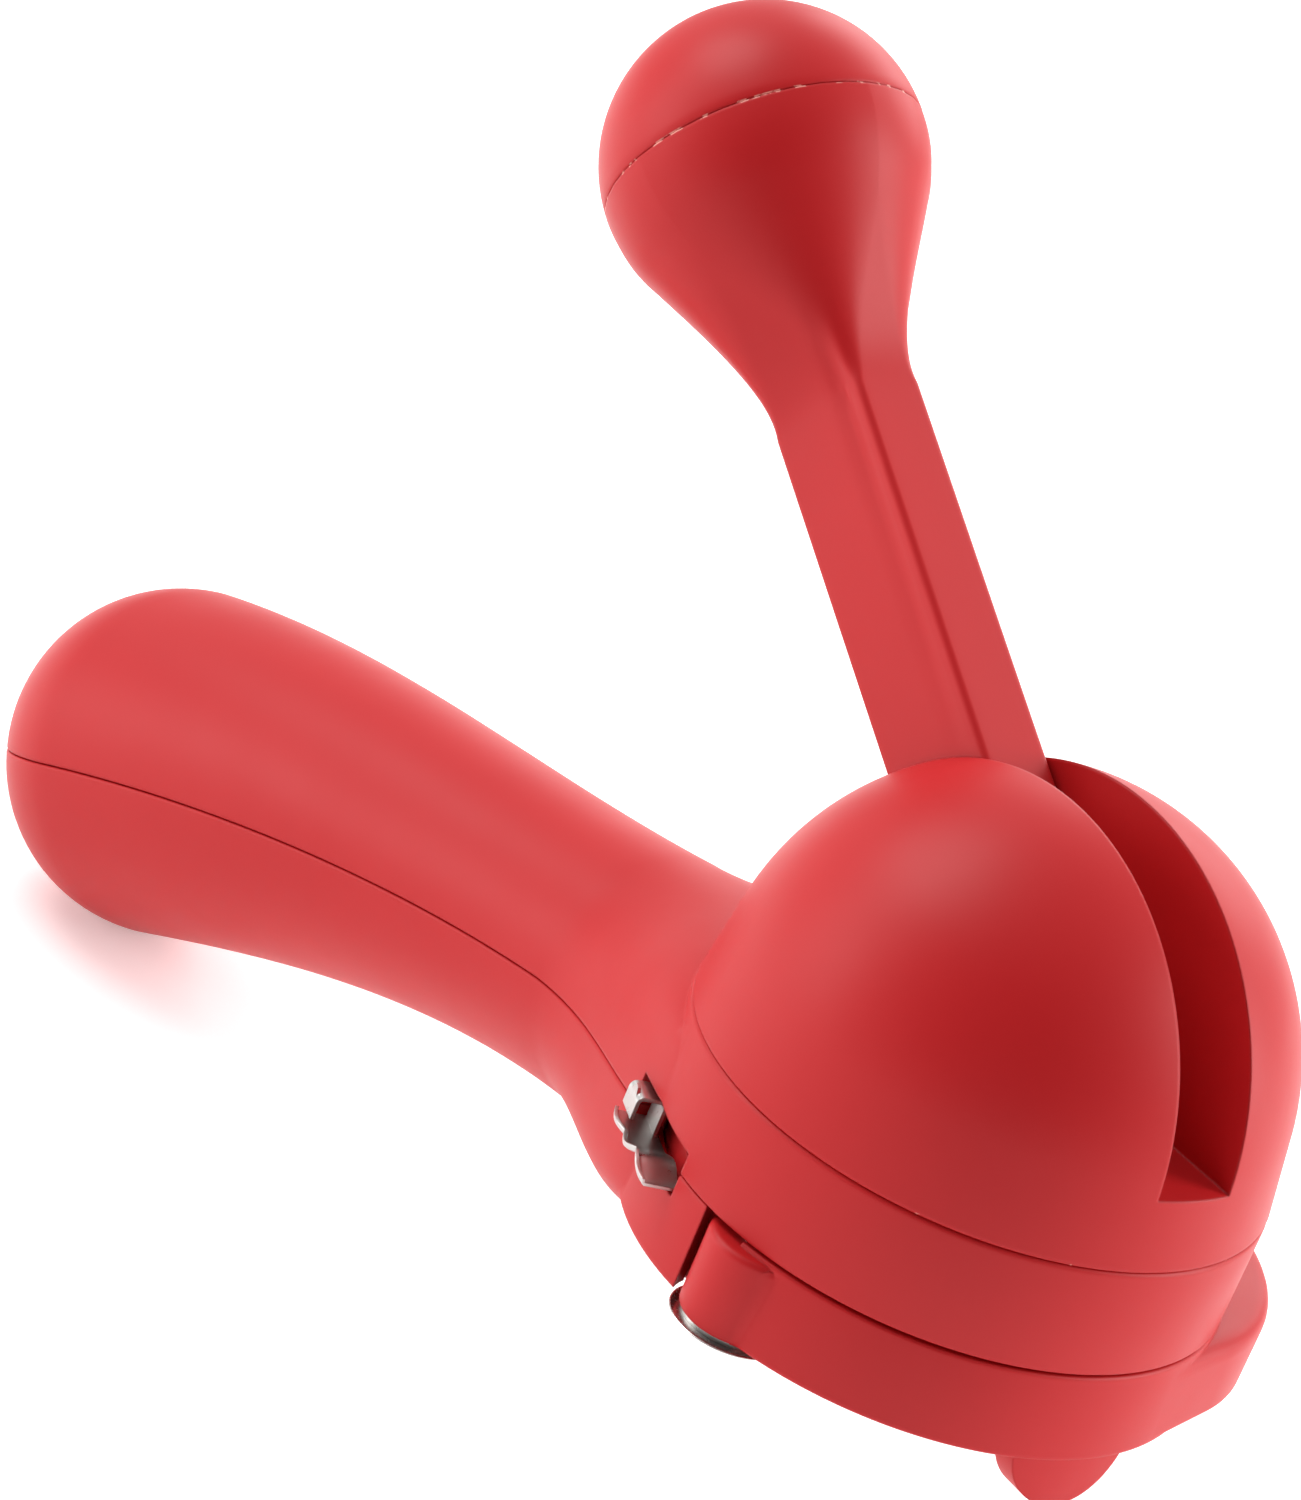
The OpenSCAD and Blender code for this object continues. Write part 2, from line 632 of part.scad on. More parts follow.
// Outer form of the swing ring: round behind, drafted in front, with the lip and the hinge boss
module ring_form() {
    cylinder(r = back_r, h = ring_h);
    intersection() {
        cylinder(r1 = head_r + ring_draft, r2 = head_r, h = ring_h);
        front_sector(hinge_az, lip_end_az + 2);
    }
    intersection() {
        translate([lip_x, lip_y, 0]) rotate_extrude() polygon([
            [0, 0], [lip_r - 0.8, 0], [lip_r, 0.9], [lip_r, ring_h - 1.5],
            [lip_r - 1, ring_h - 0.5], [0, ring_h - 0.2]]);
        front_sector(5, lip_end_az);
    }
    // straight run where the lip leaves the ring
    linear_extrude(ring_h - 0.7) polygon([
        [head_r / 2, head_r / 3],
        [(head_r - 0.1) * cos(lip_meet_az), (head_r - 0.1) * sin(lip_meet_az)],
        [lip_x + (lip_r - 0.2) * cos(lip_meet_az), lip_y + (lip_r - 0.2) * sin(lip_meet_az)]]);
    at_hinge(0) cylinder(r = boss_r, h = ring_h - 0.4);
}
module front_sector(from, to) {
    rotate([0, 0, from]) rotate_extrude(angle = to - from) square([2 * head_r, ring_h]);
}
tab_drop = 5.3;
tab_half = 6.6;
tab_y = -2.5;
module thumb_tab() {
    r = (pow(tab_half, 2) + pow(tab_drop, 2)) / (2 * tab_drop);
    intersection() {
        translate([0, tab_y, r - tab_drop]) rotate([0, 90, 0]) cylinder(r = r, h = 2 * head_r);
        translate([0, 0, -tab_drop]) difference() {
            cylinder(r = head_r + ring_draft - 0.2, h = tab_drop + 1);
            translate([0, 0, -1]) cylinder(r = head_r - wall, h = tab_drop + 3);
        }
    }
}
module ring_carrier() color(red) difference() {
    union() {
        ring_form();
        thumb_tab();
    }
    translate([0, 0, -1]) cylinder(r = outlet_r, h = ring_h + 2);
    translate([0, 0, strainer_z]) cylinder(r = seat_r, h = ring_h);
    // coring of the underside, with ribs left between the two walls
    difference() {
        translate([0, 0, -1]) cylinder(r = back_r - 1.8, h = ring_h - 1.4);
        translate([0, 0, -2]) cylinder(r = outlet_r + 1.8, h = ring_h + 2);
        for (az = [10:40:330]) rotate([0, 0, az]) translate([0, -0.7, -2])
            cube([head_r, 1.4, ring_h + 2]);
        at_hinge(-2) cylinder(r = boss_r, h = ring_h + 2);
    }
    at_hinge(-1) cylinder(r = rivet_r + run, h = ring_h + 2);
    at_detent() translate([-leaf_w / 2 - 1, 0, leaf_z - 0.3]) cube([leaf_w + 2, 4.2, 9]);
}
module strainer_plate() color(steel) difference() {
    translate([0, 0, strainer_z]) cylinder(r = seat_r - snug, h = strainer_t);
    rows = floor((outlet_r - 1.4) / hole_pitch / sin(60));
    for (j = [-rows:rows]) for (i = [-2 * rows:2 * rows])
        let (x = (i + (j % 2 == 0 ? 0 : 0.5)) * hole_pitch, y = j * hole_pitch * sin(60))
        if (norm([x, y]) < outlet_r - 1.4) translate([x, y, strainer_z - 1])
            cylinder(d = hole_d, h = 3, $fn = 24);
}
module strainer_retainer() color(steel) translate([0, 0, strainer_z + strainer_t]) difference() {
    cylinder(r = seat_r - snug, h = 0.8);
    translate([0, 0, -1]) cylinder(r = seat_r - 1.7, h = 3);
}

upper_shell();
lower_shell();
shell_screws();
dome_cover();
dome_screws();
chamber_sleeve();
bush_left();
bush_right();
pivot_rivet();
rivet_washer();
detent_spring();
lever_arm();
ball_cap();
drive_shaft();
pinion_left();
pinion_right();
shaft_clips();
plunger();
rack_left();
rack_right();
rack_screws();
press_face();
ring_carrier();
strainer_plate();
strainer_retainer();
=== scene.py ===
# %% [markdown]
# # A garlic press with a swinging strainer ring
# This lesson dresses a finished CAD assembly for its portrait. The CAD model says where each part
# is and how it moves. Blender adds what the eye looks for: smooth moulded skins, crisp parting
# lines, metal that shines and plastic that doesn't. We load the assembly first and note its box.

# %% Load the assembly
import bmesh
import bpy
from math import acos, atan2, cos, degrees, hypot, pi, radians, sin, sqrt
from mathutils import Matrix, Vector


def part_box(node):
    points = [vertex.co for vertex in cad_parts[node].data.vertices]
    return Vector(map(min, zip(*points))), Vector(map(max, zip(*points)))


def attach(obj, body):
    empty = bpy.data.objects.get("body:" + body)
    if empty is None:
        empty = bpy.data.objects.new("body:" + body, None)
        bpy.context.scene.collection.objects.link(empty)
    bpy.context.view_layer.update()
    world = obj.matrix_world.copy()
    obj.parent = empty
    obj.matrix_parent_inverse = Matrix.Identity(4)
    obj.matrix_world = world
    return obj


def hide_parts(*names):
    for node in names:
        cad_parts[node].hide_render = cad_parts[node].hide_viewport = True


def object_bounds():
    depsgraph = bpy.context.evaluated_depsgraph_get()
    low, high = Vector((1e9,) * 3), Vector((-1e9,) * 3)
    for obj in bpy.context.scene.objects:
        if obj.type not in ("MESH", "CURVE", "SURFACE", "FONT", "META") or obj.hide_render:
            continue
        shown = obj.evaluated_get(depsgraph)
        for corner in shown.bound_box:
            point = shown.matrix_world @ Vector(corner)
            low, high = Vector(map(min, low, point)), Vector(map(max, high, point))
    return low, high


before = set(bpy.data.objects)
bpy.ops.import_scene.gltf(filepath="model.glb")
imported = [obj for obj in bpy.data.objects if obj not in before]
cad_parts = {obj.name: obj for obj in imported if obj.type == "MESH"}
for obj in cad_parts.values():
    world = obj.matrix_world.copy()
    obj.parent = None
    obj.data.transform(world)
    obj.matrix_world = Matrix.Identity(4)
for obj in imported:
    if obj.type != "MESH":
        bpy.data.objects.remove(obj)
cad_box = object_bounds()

scene = bpy.context.scene
print("CAD nodes:", len(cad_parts), "box in metres:", cad_box)

# %% [markdown]
# ## Driving sizes
# The press is drawn from a few sizes in millimetres, the same ones as the CAD model uses. The
# outlet's middle is the origin, X runs to the front, and Z is up. The heights are those of the
# parting line, of the dome's seam and of the pivot.

# %% Driving sizes
MM = 0.001
HEAD_R, RING_H, WALL, GAP = 30, 9.3, 2.2, 0.3
SPLIT_Z, SEAM_Z, PIVOT_Z = 9.6, 21.3, 35.1
REST_TILT, SWING = 32.4, 146
LEVER_LEN, LEVER_W, LEVER_T, BALL_R, FLARE = 88.8, 13.4, 8.5, 16.8, 19.8
BULB_BACK, BULB_DROP, BULB_R, NECK_R = 127.2, 20.6, 19.7, 14.5
print("head", 2 * HEAD_R, "mm across, lever", LEVER_LEN, "mm, handle", BULB_BACK + BULB_R, "mm back")

# %% [markdown]
# ## The camera
# A product shot of a hand tool is taken with a long lens from a little above, which keeps the
# shape honest. The camera stands 60 cm away in front of the head, and it is rolled so that the
# tool runs corner to corner. We give its three axes directly, because a rolled camera is easier
# to read that way than as three angles.

# %% Camera
camera = bpy.data.objects.new("camera", bpy.data.cameras.new("camera"))
scene.collection.objects.link(camera)
scene.camera = camera
camera.data.sensor_width = 36
camera.data.lens = 142.16
camera.data.clip_start = 0.01
right, up, back = (0.55704, 0.75562, 0.3446), (-0.52894, 0.00291, 0.84865), (0.64025, -0.65501, 0.4013)
camera_place = (0.33124, -0.39928, 0.26811)
camera.matrix_world = Matrix.Translation(camera_place) @ Matrix((right, up, back)).transposed().to_4x4()
print("camera", round(camera.location.length, 3), "m from the outlet, lens", camera.data.lens, "mm")

# %% [markdown]
# ## The studio
# Plain soft light on a white sweep: a large softbox overhead on the left gives the broad pale
# sheen, a second one low on the left fills the handle's side, and two behind the tool draw its
# rims. The floor sends light back up from below. The sky is pale all round and darker towards
# the viewer, as a real studio is behind the camera.

# %% Floor, lights and sky
def colour(hex_code):
    """sRGB hex to the linear values that shaders want"""
    parts = [int(hex_code[i:i + 2], 16) / 255 for i in (1, 3, 5)]
    return tuple(p / 12.92 if p <= 0.04045 else ((p + 0.055) / 1.055) ** 2.4 for p in parts) + (1,)


def add(tree, kind, inputs=None, **settings):
    """Adds a node, sets its settings, and fills its inputs with values or links"""
    node = tree.nodes.new(kind)
    for name, value in settings.items():
        setattr(node, name, value)
    for name, value in (inputs or {}).items():
        if isinstance(value, bpy.types.NodeSocket):
            tree.links.new(value, node.inputs[name])
        else:
            node.inputs[name].default_value = value
    return node


def material(name):
    made = bpy.data.materials.new(name)
    made.use_nodes = True
    made.node_tree.nodes.clear()
    return made, made.node_tree


def softbox(name, place, target, width, height, watts):
    light = bpy.data.objects.new(name, bpy.data.lights.new(name, "AREA"))
    light.data.shape = "RECTANGLE"
    light.data.size, light.data.size_y, light.data.energy = width, height, watts
    light.location = place
    light.rotation_euler = (Vector(place) - Vector(target)).to_track_quat("Z", "Y").to_euler()
    scene.collection.objects.link(light)


sweep, tree = material("white_paper_sweep")
shader = add(tree, "ShaderNodeBsdfPrincipled", {
    "Base Color": (0.95, 0.95, 0.95, 1), "Roughness": 0.9, "Emission Color": (1, 1, 1, 1),
    "Emission Strength": 0.3})
add(tree, "ShaderNodeOutputMaterial", {"Surface": shader.outputs[0]})
floor_z = cad_box[0][2]
mesh = bpy.data.meshes.new("floor")
mesh.from_pydata([(x, y, floor_z) for x, y in ((-6, -6), (6, -6), (6, 6), (-6, 6))], [], [(0, 1, 2, 3)])
floor = bpy.data.objects.new("floor", mesh)
floor.data.materials.append(sweep)
scene.collection.objects.link(floor)

softbox("key", (-0.75, -0.4, 0.95), (-0.03, 0, 0.03), 0.7, 0.7, 9)
softbox("side", (-0.85, -0.9, 0.3), (-0.03, 0, 0.03), 0.6, 0.6, 5)
softbox("fill", (0.62, 0.85, 0.5), (0, 0, 0.03), 0.5, 0.9, 12)
softbox("back", (-0.5, 0.9, 0.5), (-0.05, 0, 0.03), 0.9, 0.6, 5)

world = bpy.data.worlds.new("studio")
scene.world = world
world.use_nodes = True
tree = world.node_tree
tree.nodes.clear()
spot = add(tree, "ShaderNodeTexCoord")
towards = add(tree, "ShaderNodeVectorMath", {0: spot.outputs["Generated"], 1: Vector(back)},
    operation="DOT_PRODUCT")
dim = add(tree, "ShaderNodeMapRange", {"Value": towards.outputs["Value"], "From Min": 0.1,
    "From Max": 0.95, "To Min": 0.9, "To Max": 0.06})
sky = add(tree, "ShaderNodeBackground", {"Color": (1, 1, 1, 1), "Strength": dim.outputs[0]})
add(tree, "ShaderNodeOutputWorld", {"Surface": sky.outputs[0]})
scene.view_settings.view_transform = "Standard"
print("studio: floor at", round(floor_z * 1000, 1), "mm, four softboxes")

# %% [markdown]
# ## Red moulded plastic
# The skins are ABS, injection moulded in a mould with a very fine spark-eroded grain. That gives
# a satin sheen: the highlight is broad and soft, and the red goes pale at grazing angles. The
# real grain is about 0.05 mm, too fine to show, so it is drawn at 0.3 mm and very shallow. The
# Bevel node rounds the light over every moulded edge by a third of a millimetre, which is what
# a real mould edge has, and by a little more on the pieces that meet at a seam. There the red is
# mixed with pale flecks in a thin band, so the material can also be told the plane of a seam.

# %% Red ABS
def red_abs(name, seam=None):
    made, tree = material(name)
    spot = add(tree, "ShaderNodeTexCoord").outputs["Object"]
    cloud = add(tree, "ShaderNodeTexNoise", {"Vector": spot, "Scale": 1 / (22 * MM), "Detail": 2})
    tone = add(tree, "ShaderNodeMix", {"Factor": cloud.outputs["Fac"], "A": colour("#B2181C"),
        "B": colour("#BA1D20")}, data_type="RGBA")
    paint = tone.outputs["Result"]
    if seam:
        point, normal, fleck = seam
        gap = add(tree, "ShaderNodeVectorMath", {0: spot, 1: Vector(point) * MM}, operation="SUBTRACT")
        height = add(tree, "ShaderNodeVectorMath", {0: gap.outputs[0], 1: normal}, operation="DOT_PRODUCT")
        off = add(tree, "ShaderNodeMath", {0: height.outputs["Value"]}, operation="ABSOLUTE")
        near = add(tree, "ShaderNodeMapRange", {"Value": off.outputs[0], "From Min": 0.08 * MM,
            "From Max": 0.2 * MM, "To Min": 1, "To Max": 0})
        specks = add(tree, "ShaderNodeTexNoise", {"Vector": spot, "Scale": 1 / (1.3 * MM), "Detail": 3})
        chosen = add(tree, "ShaderNodeMapRange", {"Value": specks.outputs["Fac"],
            "From Min": fleck, "From Max": fleck + 0.05})
        amount = add(tree, "ShaderNodeMath", {0: near.outputs[0], 1: chosen.outputs[0]}, operation="MULTIPLY")
        mixed = add(tree, "ShaderNodeMix", {"Factor": amount.outputs[0], "A": paint,
            "B": colour("#EFA79A")}, data_type="RGBA")
        paint = mixed.outputs["Result"]
    worn = add(tree, "ShaderNodeTexNoise", {"Vector": spot, "Scale": 1 / (9 * MM), "Detail": 4})
    rough = add(tree, "ShaderNodeMapRange", {"Value": worn.outputs["Fac"], "To Min": 0.4, "To Max": 0.5})
    grain = add(tree, "ShaderNodeTexNoise", {"Vector": spot, "Scale": 1 / (0.3 * MM), "Detail": 2})
    edge = add(tree, "ShaderNodeBevel", {"Radius": (0.45 if seam else 0.3) * MM}, samples=6)
    bump = add(tree, "ShaderNodeBump", {"Height": grain.outputs["Fac"], "Strength": 0.12,
        "Distance": 0.04 * MM, "Normal": edge.outputs[0]})
    shader = add(tree, "ShaderNodeBsdfPrincipled", {"Base Color": paint, "Roughness": rough.outputs[0],
        "Normal": bump.outputs[0], "IOR": 1.52, "Specular IOR Level": 0.22})
    add(tree, "ShaderNodeOutputMaterial", {"Surface": shader.outputs[0]})
    return made


ARM_WAY = Vector((cos(radians(REST_TILT - 180)), 0, -sin(radians(REST_TILT - 180))))
ball_middle = Vector((0, 0, PIVOT_Z)) + LEVER_LEN * ARM_WAY
red = red_abs("red_moulded_abs")
red_ball = red_abs("red_moulded_abs_ball_seam", (ball_middle, ARM_WAY, 0.56))
red_dome = red_abs("red_moulded_abs_dome_seam", ((0, 0, SEAM_Z + 0.1), (0, 0, 1), 0.66))
print("made", red.name, red_ball.name, red_dome.name)

# %% [markdown]
# ## Metals, gear plastics and silicone
# Inside are stamped stainless steel, acetal gears and bushes, and a silicone face on the plunger.
# Stainless is brushed or tumbled, so its roughness changes along fine streaks. Acetal is waxy,
# cream white, and takes a soft sheen. Silicone is duller still.

# %% Inner finishes
def stainless(name, roughness, streak):
    made, tree = material(name)
    spot = add(tree, "ShaderNodeTexCoord").outputs["Object"]
    stretch = add(tree, "ShaderNodeMapping", {"Vector": spot, "Scale": (1, streak, 1)})
    lines = add(tree, "ShaderNodeTexNoise", {"Vector": stretch.outputs[0], "Scale": 1 / (0.4 * MM),
        "Detail": 3})
    rough = add(tree, "ShaderNodeMapRange", {"Value": lines.outputs["Fac"],
        "To Min": roughness - 0.08, "To Max": roughness + 0.1})
    edge = add(tree, "ShaderNodeBevel", {"Radius": 0.12 * MM}, samples=4)
    bump = add(tree, "ShaderNodeBump", {"Height": lines.outputs["Fac"], "Strength": 0.1,
        "Distance": 0.02 * MM, "Normal": edge.outputs[0]})
    shader = add(tree, "ShaderNodeBsdfPrincipled", {"Base Color": colour("#C6C4C1"), "Metallic": 1,
        "Roughness": rough.outputs[0], "Normal": bump.outputs[0]})
    add(tree, "ShaderNodeOutputMaterial", {"Surface": shader.outputs[0]})
    return made


def soft_plastic(name, light, dark, roughness, grain_mm):
    made, tree = material(name)
    spot = add(tree, "ShaderNodeTexCoord").outputs["Object"]
    cloud = add(tree, "ShaderNodeTexNoise", {"Vector": spot, "Scale": 1 / (6 * MM), "Detail": 3})
    tone = add(tree, "ShaderNodeMix", {"Factor": cloud.outputs["Fac"], "A": colour(dark),
        "B": colour(light)}, data_type="RGBA")
    grain = add(tree, "ShaderNodeTexNoise", {"Vector": spot, "Scale": 1 / (grain_mm * MM), "Detail": 2})
    edge = add(tree, "ShaderNodeBevel", {"Radius": 0.15 * MM}, samples=4)
    bump = add(tree, "ShaderNodeBump", {"Height": grain.outputs["Fac"], "Strength": 0.15,
        "Distance": 0.03 * MM, "Normal": edge.outputs[0]})
    shader = add(tree, "ShaderNodeBsdfPrincipled", {"Base Color": tone.outputs["Result"],
        "Roughness": roughness, "Normal": bump.outputs[0], "IOR": 1.48})
    add(tree, "ShaderNodeOutputMaterial", {"Surface": shader.outputs[0]})
    return made


sheet_steel = stainless("stainless_sheet", 0.3, 0.2)
turned_steel = stainless("stainless_turned", 0.24, 1)
acetal = soft_plastic("acetal_cream", "#E9E6DC", "#DED9CB", 0.36, 0.25)
grey_acetal = soft_plastic("acetal_grey", "#8E9193", "#7E8284", 0.4, 0.25)
silicone = soft_plastic("silicone_grey", "#5C5F62", "#4E5154", 0.6, 0.35)
for node, finish in (
        ("chamber_sleeve", sheet_steel), ("bush_left", acetal), ("bush_right", acetal),
        ("rivet_washer", sheet_steel), ("drive_shaft", turned_steel), ("pinion_left", grey_acetal),
        ("pinion_right", grey_acetal), ("shaft_clips", sheet_steel), ("plunger", acetal),
        ("rack_left", grey_acetal), ("rack_right", grey_acetal), ("press_face", silicone),
        ("strainer_retainer", sheet_steel)):
    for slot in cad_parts[node].material_slots:
        slot.material = finish
print("inner finishes on the carried-over nodes")

# %% [markdown]
# ## Tools for making solids
# Moulded shells are easiest to make as the toolmaker does: a turned or lofted form, from which
# other forms are cut. A lathe turns an outline, a loft joins rings of points, and a prism stands
# an outline up. Booleans then join and cut them. All sizes are in millimetres until the mesh is
# made.

# %% Solids
def solid(name, points, faces):
    mesh = bpy.data.meshes.new(name)
    mesh.from_pydata([Vector(p) * MM for p in points], [], faces)
    made = bmesh.new()
    made.from_mesh(mesh)
    bmesh.ops.recalc_face_normals(made, faces=made.faces)
    made.to_mesh(mesh)
    made.free()
    obj = bpy.data.objects.new(name, mesh)
    scene.collection.objects.link(obj)
    return obj


def soften(outline, steps=4):
    """Turns (x, y, rounding) corners into small curves"""
    points = []
    for i, (x, y, rounding) in enumerate(outline):
        here = Vector((x, y))
        if not rounding:
            points.append((x, y))
            continue
        ends = []
        for other in (outline[i - 1], outline[(i + 1) % len(outline)]):
            way = Vector(other[:2]) - here
            ends.append(here + way.normalized() * min(rounding, way.length * 0.49))
        for k in range(steps + 1):
            t = k / steps
            points.append(tuple((1 - t) ** 2 * ends[0] + 2 * t * (1 - t) * here + t * t * ends[1]))
    return points


def lathe(name, outline, steps=160, centre=(0, 0)):
    """Turns a closed (radius, height) outline about an upright axis"""
    points, rings, faces = [], [], []
    for r, z in outline:
        if r < 1e-6:
            rings.append([len(points)] * steps)
            points.append((centre[0], centre[1], z))
        else:
            rings.append(list(range(len(points), len(points) + steps)))
            points += [(centre[0] + r * cos(2 * pi * i / steps), centre[1] + r * sin(2 * pi * i / steps), z)
                for i in range(steps)]
    for a, b in zip(rings, rings[1:] + rings[:1]):
        for i in range(steps):
            j = (i + 1) % steps
            face = list(dict.fromkeys((a[i], a[j], b[j], b[i])))
            if len(face) > 2:
                faces.append(face)
    return solid(name, points, faces)


def drum(name, r, low, high, centre=(0, 0), steps=64):
    return lathe(name, [(0, low), (r, low), (r, high), (0, high)], steps, centre)


def loft(name, rings, tips=(None, None)):
    """Joins rings of points; each end closes on its tip, or on its own middle"""
    n = len(rings[0])
    points = [p for ring in rings for p in ring]
    faces = [[j * n + i, j * n + (i + 1) % n, (j + 1) * n + (i + 1) % n, (j + 1) * n + i]
        for j in range(len(rings) - 1) for i in range(n)]
    for ring, tip, start in ((rings[0], tips[0], 0), (rings[-1], tips[1], (len(rings) - 1) * n)):
        points.append(tip or [sum(p[k] for p in ring) / n for k in range(3)])
        faces += [[start + i, start + (i + 1) % n, len(points) - 1] for i in range(n)]
    return solid(name, points, faces)


def prism(name, outline, low, high, axis="Z"):
    """Stands an (x, y) outline up along Z, or an (x, z) outline along Y"""
    n = len(outline)
    level = lambda h: [(a, b, h) if axis == "Z" else (a, h, b) for a, b in outline]
    faces = [list(range(n)), list(range(n, 2 * n))]
    faces += [[i, (i + 1) % n, n + (i + 1) % n, n + i] for i in range(n)]
    return solid(name, level(low) + level(high), faces)


def block(name, low, high):
    (x0, y0, z0), (x1, y1, z1) = low, high
    return prism(name, [(x0, y0), (x1, y0), (x1, y1), (x0, y1)], z0, z1)


def settle(obj):
    """Turns what the modifiers make into the piece's own plain mesh"""
    mesh = bpy.data.meshes.new_from_object(obj.evaluated_get(bpy.context.evaluated_depsgraph_get()))
    obj.modifiers.clear()
    obj.data = mesh
    return obj


def carve(base, operation, *tools):
    """Joins, cuts or intersects the base with each tool in turn, and puts the tools away"""
    for tool in tools:
        step = base.modifiers.new("step", "BOOLEAN")
        step.operation, step.object, step.solver = operation, tool, "MANIFOLD"
    settle(base)
    for tool in tools:
        bpy.data.objects.remove(tool)
    return base


def finish(obj, body, finish_material, *nodes, slot="red_body", crease=30):
    """Smooth skin with crisp edges, its finish, and its place in the assembly"""
    made = bmesh.new()
    made.from_mesh(obj.data)
    bmesh.ops.remove_doubles(made, verts=made.verts, dist=0.002 * MM)
    bmesh.ops.dissolve_degenerate(made, edges=made.edges, dist=0.001 * MM)
    made.to_mesh(obj.data)
    made.free()
    obj.data.polygons.foreach_set("use_smooth", [True] * len(obj.data.polygons))
    obj.data.set_sharp_from_angle(angle=radians(crease))
    obj.data.materials.clear()
    obj.data.materials.append(finish_material)
    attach(obj, body)
    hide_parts(*nodes)
    print(obj.name, "rides on", body, "with", len(obj.data.polygons), "faces")


print("tools ready")

# %% [markdown]
# ## The handle's line
# The handle is a lofted form: a squarish section leaves the head, rounds off as the neck
# narrows, and swells into a ball that fits the palm. Every section is a superellipse, so one
# number takes it from nearly square to a circle. The same stations make the upper and the lower
# moulding, and both are rounded where they meet, which draws the fine dark parting line.

# %% Stations along the handle
NECK_BACK, NECK_ZC, NECK_TILT, BULB_TILT = 48, SPLIT_Z - 6.3, 11, 23.5
ROOT_AZ = 70  # where the neck leaves the head, in degrees either side of straight back


def cubic(a, b, ma, mb, t):
    return ((2 * t ** 3 - 3 * t ** 2 + 1) * a + (t ** 3 - 2 * t ** 2 + t) * ma
        + (3 * t ** 2 - 2 * t ** 3) * b + (t ** 3 - t ** 2) * mb)


def mix(a, b, t):
    return a + (b - a) * t


# a station gives x, the parting's height, tilt, half width, height above and depth below the
# parting, and the squareness above and below
def neck_station(v):
    drop = max(0, (v - 0.06) / 0.94)
    parting = cubic(SPLIT_Z, NECK_ZC, -6, -5, drop)
    return (-mix(HEAD_R * cos(radians(ROOT_AZ)), NECK_BACK, v), parting, NECK_TILT * drop,
        cubic(HEAD_R * sin(radians(ROOT_AZ)) - 0.8, NECK_R, -6, -1, v),
        cubic(SEAM_Z, NECK_ZC + 13.1, 12, -7, v) - parting,
        parting - cubic(0, NECK_ZC - 15.3, -14.5, -7, v), 2 + 5 * (1 - v) ** 2, 2 + 8 * (1 - v) ** 1.6)


def grip_station(t):
    r = cubic(NECK_R, BULB_R, -4, 5, t)
    return (-mix(NECK_BACK, BULB_BACK, t), cubic(NECK_ZC, -BULB_DROP, -16, -35, t),
        mix(NECK_TILT, BULB_TILT, t), r, r - 1.4 * (1 - t), r + 0.8 * (1 - t), 2, 2)


def bulb_station(w):
    r, tilt = BULB_R * cos(radians(w)), radians(BULB_TILT)
    return (-BULB_BACK - BULB_R * sin(radians(w)) * cos(tilt),
        -BULB_DROP - BULB_R * sin(radians(w)) * sin(tilt), BULB_TILT, r, r, r, 2, 2)


def stations(neck, grip, tips):
    return ([neck_station(i / neck) for i in range(neck + 1)]
        + [grip_station(i / grip) for i in range(1, grip + 1)] + [bulb_station(w) for w in tips])


def half_section(station, side, inset, skirt=0, rim=0, steps=56):
    """Half a section above (side 1) or below (side -1) the parting, with a rounded rim or a skirt"""
    x, parting, tilt, across, above, below, n_above, n_below = station
    n = n_above if side > 0 else n_below
    across, rise = across - inset, (above if side > 0 else below) - inset
    rim = min(rim, 0.25 * across, 0.25 * rise)
    start = degrees(atan2(1.5 * rim / rise, 1)) if rim else 0
    flat = []
    for i in range(steps + 1):
        a = radians(start + (180 - 2 * start) * i / steps)
        r = (abs(cos(a)) ** n + abs(sin(a)) ** n) ** (-1 / n)
        flat.append((across * r * cos(a), rise * r * sin(a)))
    if rim:
        lip = []
        for k in range(5):
            h = rim * (1 - cos(radians(22.5 * k)))
            lip.append((across * (1 - (h / rise) ** n) ** (1 / n) - rim * (1 - sin(radians(22.5 * k))), h))
        flat = lip + flat + [(-a, h) for a, h in reversed(lip)]
    if skirt:
        flat = [(across, -skirt)] + flat + [(-across, -skirt)]
    tilt = radians(tilt)
    return [(x - side * h * sin(tilt), a, parting + side * h * cos(tilt)) for a, h in flat]


RIM = 0.3
TIPS = [3 * k for k in range(1, 30)]


def half_handle(name, side, lift):
    line = stations(44, 52, TIPS)
    tip = bulb_station(90)
    rings = [[(x, y, z + lift) for x, y, z in half_section(s, side, 0, rim=RIM)] for s in line]
    return loft(name, rings, (None, (tip[0], 0, tip[1] + lift)))


def half_hollow(name, side, boss_r):
    line = [s for s in stations(31, 37, [8 * k + 4 for k in range(7)]) if s[0] < -33.7]
    hollow = loft(name, [half_section(s, side, WALL, skirt=1, steps=41) for s in line])
    return carve(hollow, "DIFFERENCE", *[drum("boss", boss_r, -60, 40, (-b, 0)) for b in SCREW_BACK])


def parting_z(b):
    """Height of the parting line at b mm behind the head's axis"""
    line = [(-s[0], s[1]) for s in stations(44, 52, [])]
    for (b0, z0), (b1, z1) in zip(line, line[1:]):
        if b0 <= b <= b1:
            return mix(z0, z1, (b - b0) / (b1 - b0))


SCREW_BACK = (NECK_BACK + 14, NECK_BACK + 46, BULB_BACK - 2)
print("parting at the screws:", [round(parting_z(b), 1) for b in SCREW_BACK])

